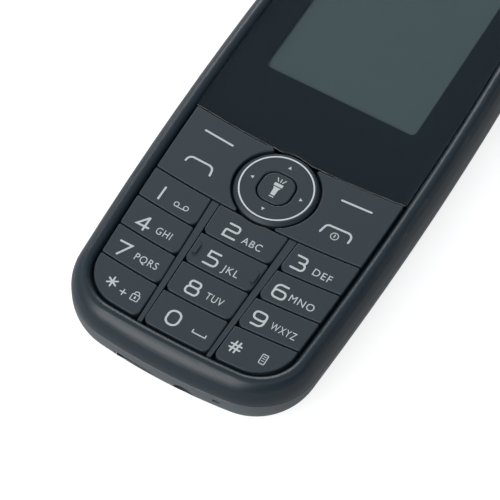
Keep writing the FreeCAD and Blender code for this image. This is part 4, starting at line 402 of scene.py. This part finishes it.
def loop(half_width, low, high, radius, middle=0):
    """The corners of a closed line, all rounded by that radius in mm."""
    return [(middle + side * half_width, level, radius)
            for side, level in ((-1, low), (1, low), (1, high), (-1, high))]


digit_stroke, letter_stroke, icon_stroke = 0.36, 0.2, 0.16
digit_width, digit_height = 0.85, 0.93
six = [[(1.0, 1.375, 0), (-1.3, 1.375, 1.0), (-1.3, -0.6, 0)], loop(1.3, -1.375, 0.2, 0.75)]
digits = {
    "1": [[(0, 1.375, 0), (0, -1.375, 0)]],
    "2": [[(-1.15, 1.375, 0), (1.3, 1.375, 0.68), (1.3, 0.02, 0.5), (-1.3, 0.02, 0.3),
           (-1.3, -1.375, 0), (1.3, -1.375, 0)]],
    "3": [[(-1.1, 1.375, 0), (1.1, 1.375, 0.6), (1.1, 0.1, 0.6), (-0.2, 0.1, 0)],
          [(0.2, 0.1, 0), (1.3, 0.1, 0.7), (1.3, -1.375, 0.7), (-1.3, -1.375, 0)]],
    "4": [[(0.5, -1.375, 0), (0.5, 1.375, 0)], [(0.4, 1.375, 0), (-1.3, -0.6, 0), (1.3, -0.6, 0)]],
    "5": [[(1.1, 1.375, 0), (-1.1, 1.375, 0), (-1.1, 0.22, 0), (1.3, 0.22, 0.75),
           (1.3, -1.375, 0.75), (-1.3, -1.375, 0)]],
    "6": six,
    "7": [[(-1.3, 1.375, 0), (1.3, 1.375, 0), (-0.45, -1.375, 0)]],
    "8": [loop(1.12, 0.13, 1.37, 0.62), loop(1.32, -1.37, 0.13, 0.7)],
    "9": [[(-x, -y, radius) for x, y, radius in line] for line in six],
    "0": [loop(1.3, -1.46, 1.46, 1.2)],
}
digit_at = {
    "1": (-16.06, -29.5), "2": (-2.15, -30.08), "3": (10.62, -29.72),
    "4": (-15.51, -36.11), "5": (-2.2, -36.35), "6": (10.58, -36.11),
    "7": (-15.92, -42.25), "8": (-2.04, -42.73), "9": (10.12, -42.33),
    "0": (-1.92, -49.27),
}
words = {
    "2": ("ABC", (1.98, -30.58), 3.6), "3": ("DEF", (14.99, -29.92), 3.4),
    "4": ("GHI", (-11.63, -36.19), 2.83), "5": ("JKL", (1.57, -36.91), 3.0),
    "6": ("MNO", (14.68, -36.21), 4.5), "7": ("PQRS", (-11.29, -42.32), 4.3),
    "8": ("TUV", (2.03, -42.86), 3.2), "9": ("WXYZ", (14.71, -42.33), 4.6),
}
tape_at, spool_radius, spool_x = (-11.92, -30.15), 0.42, 0.9
star_at, star_radius, arm_stroke = (-14.07, -48.45), 0.92, 0.3
star_arms = [Vector((math.cos(turn), math.sin(turn))) * star_radius
             for turn in map(math.radians, (30, 90, 150))]
plus_at, plus_reach = (-11.54, -49.27), 0.55
lock_at, keyhole_stroke = (-9.32, -48.95), 0.28
hash_at, hash_lean = (9.48, -48.79), 0.15
silent_at, row_stroke = (14.52, -48.49), 0.12
icons = {
    "1": [(tape_at, icon_stroke, loop(spool_radius, -spool_radius, spool_radius, 0.41, x))
          for x in (-spool_x, spool_x)]
         + [(tape_at, icon_stroke, [(-spool_x, -spool_radius, 0), (spool_x, -spool_radius, 0)])],
    "0": [((3.2, -49.95), letter_stroke,
           [(-1.2, 0.5, 0), (-1.2, 0, 0), (1.2, 0, 0), (1.2, 0.5, 0)])],
    "star": [(star_at, arm_stroke, [(*arm, 0), (*-arm, 0)]) for arm in star_arms]
            + [(plus_at, letter_stroke, [(-x, -y, 0), (x, y, 0)])
               for x, y in ((plus_reach, 0), (0, plus_reach))]
            + [(lock_at, icon_stroke, loop(0.68, -0.85, 0.3, 0.15)),
               (lock_at, icon_stroke, [(-0.4, 0.3, 0), (-0.4, 0.9, 0.35),
                                       (0.4, 0.9, 0.35), (0.4, 0.3, 0)]),
               (lock_at, keyhole_stroke, [(0, -0.15, 0), (0, -0.4, 0)])],
    "hash": [(hash_at, arm_stroke, bar) for offset in (-0.36, 0.36) for bar in (
                [(offset - hash_lean, -1.05, 0), (offset + hash_lean, 1.05, 0)],
                [(-0.95, offset, 0), (0.95, offset, 0)])]
            + [(silent_at, icon_stroke, loop(0.5, -0.9, 0.9, 0.15))]
            + [(silent_at, row_stroke, [(-0.22, height, 0), (0.22, height, 0)])
               for height in (-0.35, 0.1, 0.5)],
}
for key in [*digits, "star", "hash"]:
    strokes = [(digit_at[key], digit_stroke,
                [(x * digit_width, y * digit_height, radius * digit_width)
                 for x, y, radius in points]) for points in digits.get(key, ())]
    print_sign("sign_" + key, "key_" + key, key_top, strokes + icons.get(key, []),
               word=words.get(key, ()))

# Function plates: one rocker each side, with the soft key above and the call or end key below.
# Moulded and sprayed like the keys, with the same white signs.
give("sprayed_polycarbonate", "function_plate_left", "function_plate_right")
print_sign("sign_call", "function_plate_left", key_top, [
    ((-13.48, -15.02), digit_stroke, [(-2.75, 0.2, 0), (2.75, -0.2, 0)]),
    ((-13.48, -21.5), digit_stroke,
     [(-2.6, -0.3, 0), (-2.45, 0.9, 0.95), (2.2, 0.8, 1.0), (2.5, -0.95, 0)])])
switch_at = (12.95, -22.23)
print_sign("sign_end", "function_plate_right", key_top, [
    ((13.3, -15.18), digit_stroke, [(-2.7, -0.18, 0), (2.7, 0.18, 0)]),
    ((13.1, -21.5), digit_stroke,
     [(-2.75, -1.0, 0), (-2.35, 0.75, 0.8), (2.5, 1.05, 0.9), (2.4, -0.7, 0)]),
    (switch_at, icon_stroke, loop(0.66, -0.66, 0.66, 0.64)),
    (switch_at, letter_stroke, [(0, -0.2, 0), (0, 0.3, 0)])])

# Navigation ring: a sprayed moulding like the keys, with a bright trim ring pressed into it.
# It rocks four ways on a hidden steel carrier, round the square OK key.
nav_top = 0.0131
give("sprayed_polycarbonate", "nav_ring", "ok_key")
rolled_metal("spring_steel", "#b4b6b8", 0.3, 0.06)
give("spring_steel", "nav_carrier")
rolled_metal("turned_aluminium", "#eef1f2", 0.5, 0.05, (1, 1, 1))
give("turned_aluminium", "nav_trim")
nav_at = Vector((0, -19))
arrow_reach, arrow_size = 4.71, 0.32
print_sign("sign_arrows", "nav_ring", nav_top, [], [
    [nav_at + Matrix.Rotation(quarter * math.pi / 2, 2)
     @ Vector((arrow_reach + x * arrow_size, y * arrow_size))
     for x, y in ((1, 0), (-0.8, 1), (-0.8, -1))] for quarter in range(4)])
ray_stroke = 0.18
torch_head = [(-0.8, 0.4), (0.8, 0.4), (0.8, 1.0), (-0.8, 1.0)]
torch_grip = [(-0.4, -1.5), (0.4, -1.5), (0.45, -0.2), (0.7, 0.2), (-0.7, 0.2), (-0.45, -0.2)]
print_sign("sign_torch", "ok_key", nav_top,
           [(nav_at, ray_stroke, [(lean * 0.9, 1.35, 0), (lean * 1.7, 2.0, 0)])
            for lean in (-0.45, 0, 0.45)]
           + [(nav_at, letter_stroke, [(-0.35, -1.85, 0), (0.35, -1.85, 0)])],
           [[nav_at + Vector(point) for point in shape] for shape in (torch_head, torch_grip)])

# Rear housing: joined to the front by four screws; its plastic is drawn a lighter grey than the
# front's, a painted reflection of the white floor.
# It carries the battery bay and the openings of both ends; its grain is drawn as the front's is.
moulded("rear_abs_painted_floor_reflection", "#5a6166", 0.45, 0.3, 0.004)
give("rear_abs_painted_floor_reflection", "rear_housing")
rolled_metal("blackened_steel", "#5a5c5f", 0.35, 0.1, (1, 1, 1))
give("blackened_steel", "housing_screws")

# Battery: a flat aluminium cell in a shrunk polyester wrap, without a label.
# The film is smooth and slightly wavy where it has shrunk.
tree, place = new_finish("shrunk_polyester_film")
wrinkle_length = 6.0
wrinkle = add(tree, "TexNoise", {"Scale": mm_in_metre / wrinkle_length, "Detail": 2.0},
              {"Vector": place})
bump = add(tree, "Bump", {"Strength": 0.5, "Distance": 0.0001}, {"Height": wrinkle.outputs["Fac"]})
shader = add(tree, "BsdfPrincipled", {"Roughness": 0.22, "IOR": 1.57},
             {"Base Color": shades(tree, "#3a3f44", 0.08, wrinkle.outputs["Fac"]),
              "Normal": bump.outputs[0]})
add(tree, "OutputMaterial", (), {"Surface": shader.outputs[0]})
give("shrunk_polyester_film", "battery")

# Battery cover: a shallow tray of the rear housing's plastic, snapped over the bay.
# It carries the rows of slots that the loudspeaker sounds through.
# Drawn in the rear housing's lighter grey, a painted reflection of the white floor.
moulded("cover_abs_painted_floor_reflection", "#5a6166", 0.45, 0.3, 0.004)
give("cover_abs_painted_floor_reflection", "battery_cover")

# Floor and light: a white sweep of card, and two large soft boxes in a grey room.
# One box hangs over the keypad end and one beyond the display; the ceiling is paler
# over the keypad than over the display, and the left wall is paler than the right one.
card = bpy.data.meshes.new("card_floor")
reach = 3.0
card.from_pydata([(-reach, -reach, 0), (reach, -reach, 0), (reach, reach, 0), (-reach, reach, 0)],
                 [], [(0, 1, 2, 3)])
floor = bpy.data.objects.new("card_floor", card)
bpy.context.scene.collection.objects.link(floor)
gap_below = 0.00002
floor.location.z = -gap_below
tree, place = new_finish("white_card")
fibre_length = 1.5
fibres = add(tree, "TexNoise", {"Scale": mm_in_metre / fibre_length},
             {"Vector": place}).outputs["Fac"]
paper = add(tree, "BsdfDiffuse", (), {"Color": shades(tree, "#b4b4b4", 0.01, fibres)})
path = add(tree, "LightPath").outputs
mirrored = add(tree, "Math", {"operation": "ADD", "use_clamp": True},
               {0: path["Is Glossy Ray"], 1: path["Is Transmission Ray"]})
share = add(tree, "Math", {"operation": "MULTIPLY", 1: 0.15}, {0: mirrored.outputs[0]})
seen = add(tree, "Math", {"operation": "MULTIPLY_ADD", 1: 0.8},
           {0: path["Is Camera Ray"], 2: share.outputs[0]})
glow = add(tree, "Emission", (), {"Strength": seen.outputs[0]})
lit_paper = add(tree, "AddShader", (), {0: paper.outputs[0], 1: glow.outputs[0]})
add(tree, "OutputMaterial", (), {"Surface": lit_paper.outputs[0]})
card.materials.append(bpy.data.materials["white_card"])

studio = bpy.data.worlds.new("studio")
studio.use_nodes = True
bpy.context.scene.world = studio
tree = studio.node_tree
tree.nodes.clear()
way = add(tree, "SeparateXYZ", (), {0: add(tree, "TexCoord").outputs["Generated"]}).outputs
room = {}
for tone, axis, start, end, first, second in (
        ("walls", "X", 0.1, -0.7, "#63686c", "#d6dadc"),
        ("overhead", "X", -0.15, 0.3, "#7c868e", "#b0b6ba"),
        ("ceiling", "Y", 0.4, -0.1, "overhead", "#d2d6d8"),
        ("upper_half", "Z", 0.6, 0.85, "walls", "ceiling"),
        ("horizon", "X", -0.2, 0.6, "#8b9196", "#c4c8ca"),
        ("all_round", "Z", 0.1, 0.3, "horizon", "upper_half")):
    turned = add(tree, "MapRange", {"From Min": start, "From Max": end,
                                    "interpolation_type": "SMOOTHSTEP"}, {"Value": way[axis]})
    settings, links = {"data_type": "RGBA"}, {0: turned.outputs[0]}
    for socket, shade in ((6, first), (7, second)):
        if shade in room:
            links[socket] = room[shade]
        else:
            settings[socket] = linear(shade)
    room[tone] = add(tree, "Mix", settings, links).outputs[2]
sky = add(tree, "Background", {"Strength": 1.0}, {"Color": room["all_round"]})
add(tree, "OutputWorld", (), {"Surface": sky.outputs[0]})

for name, place, width, length, power in (
        ("soft_box_front", (-0.25, -0.72, 0.62), 0.75, 0.7, 6.0),
        ("soft_box_back", (-0.62, 0.9, 0.42), 0.9, 0.4, 6.0)):
    lamp = bpy.data.lights.new(name, "AREA")
    lamp.shape = "RECTANGLE"
    lamp.size, lamp.size_y = width, length
    lamp.energy = power
    box = bpy.data.objects.new(name, lamp)
    bpy.context.scene.collection.objects.link(box)
    box.location = place
    box.rotation_euler = (-Vector(place)).to_track_quat("-Z", "Y").to_euler()

bpy.context.scene.view_settings.view_transform = "Standard"
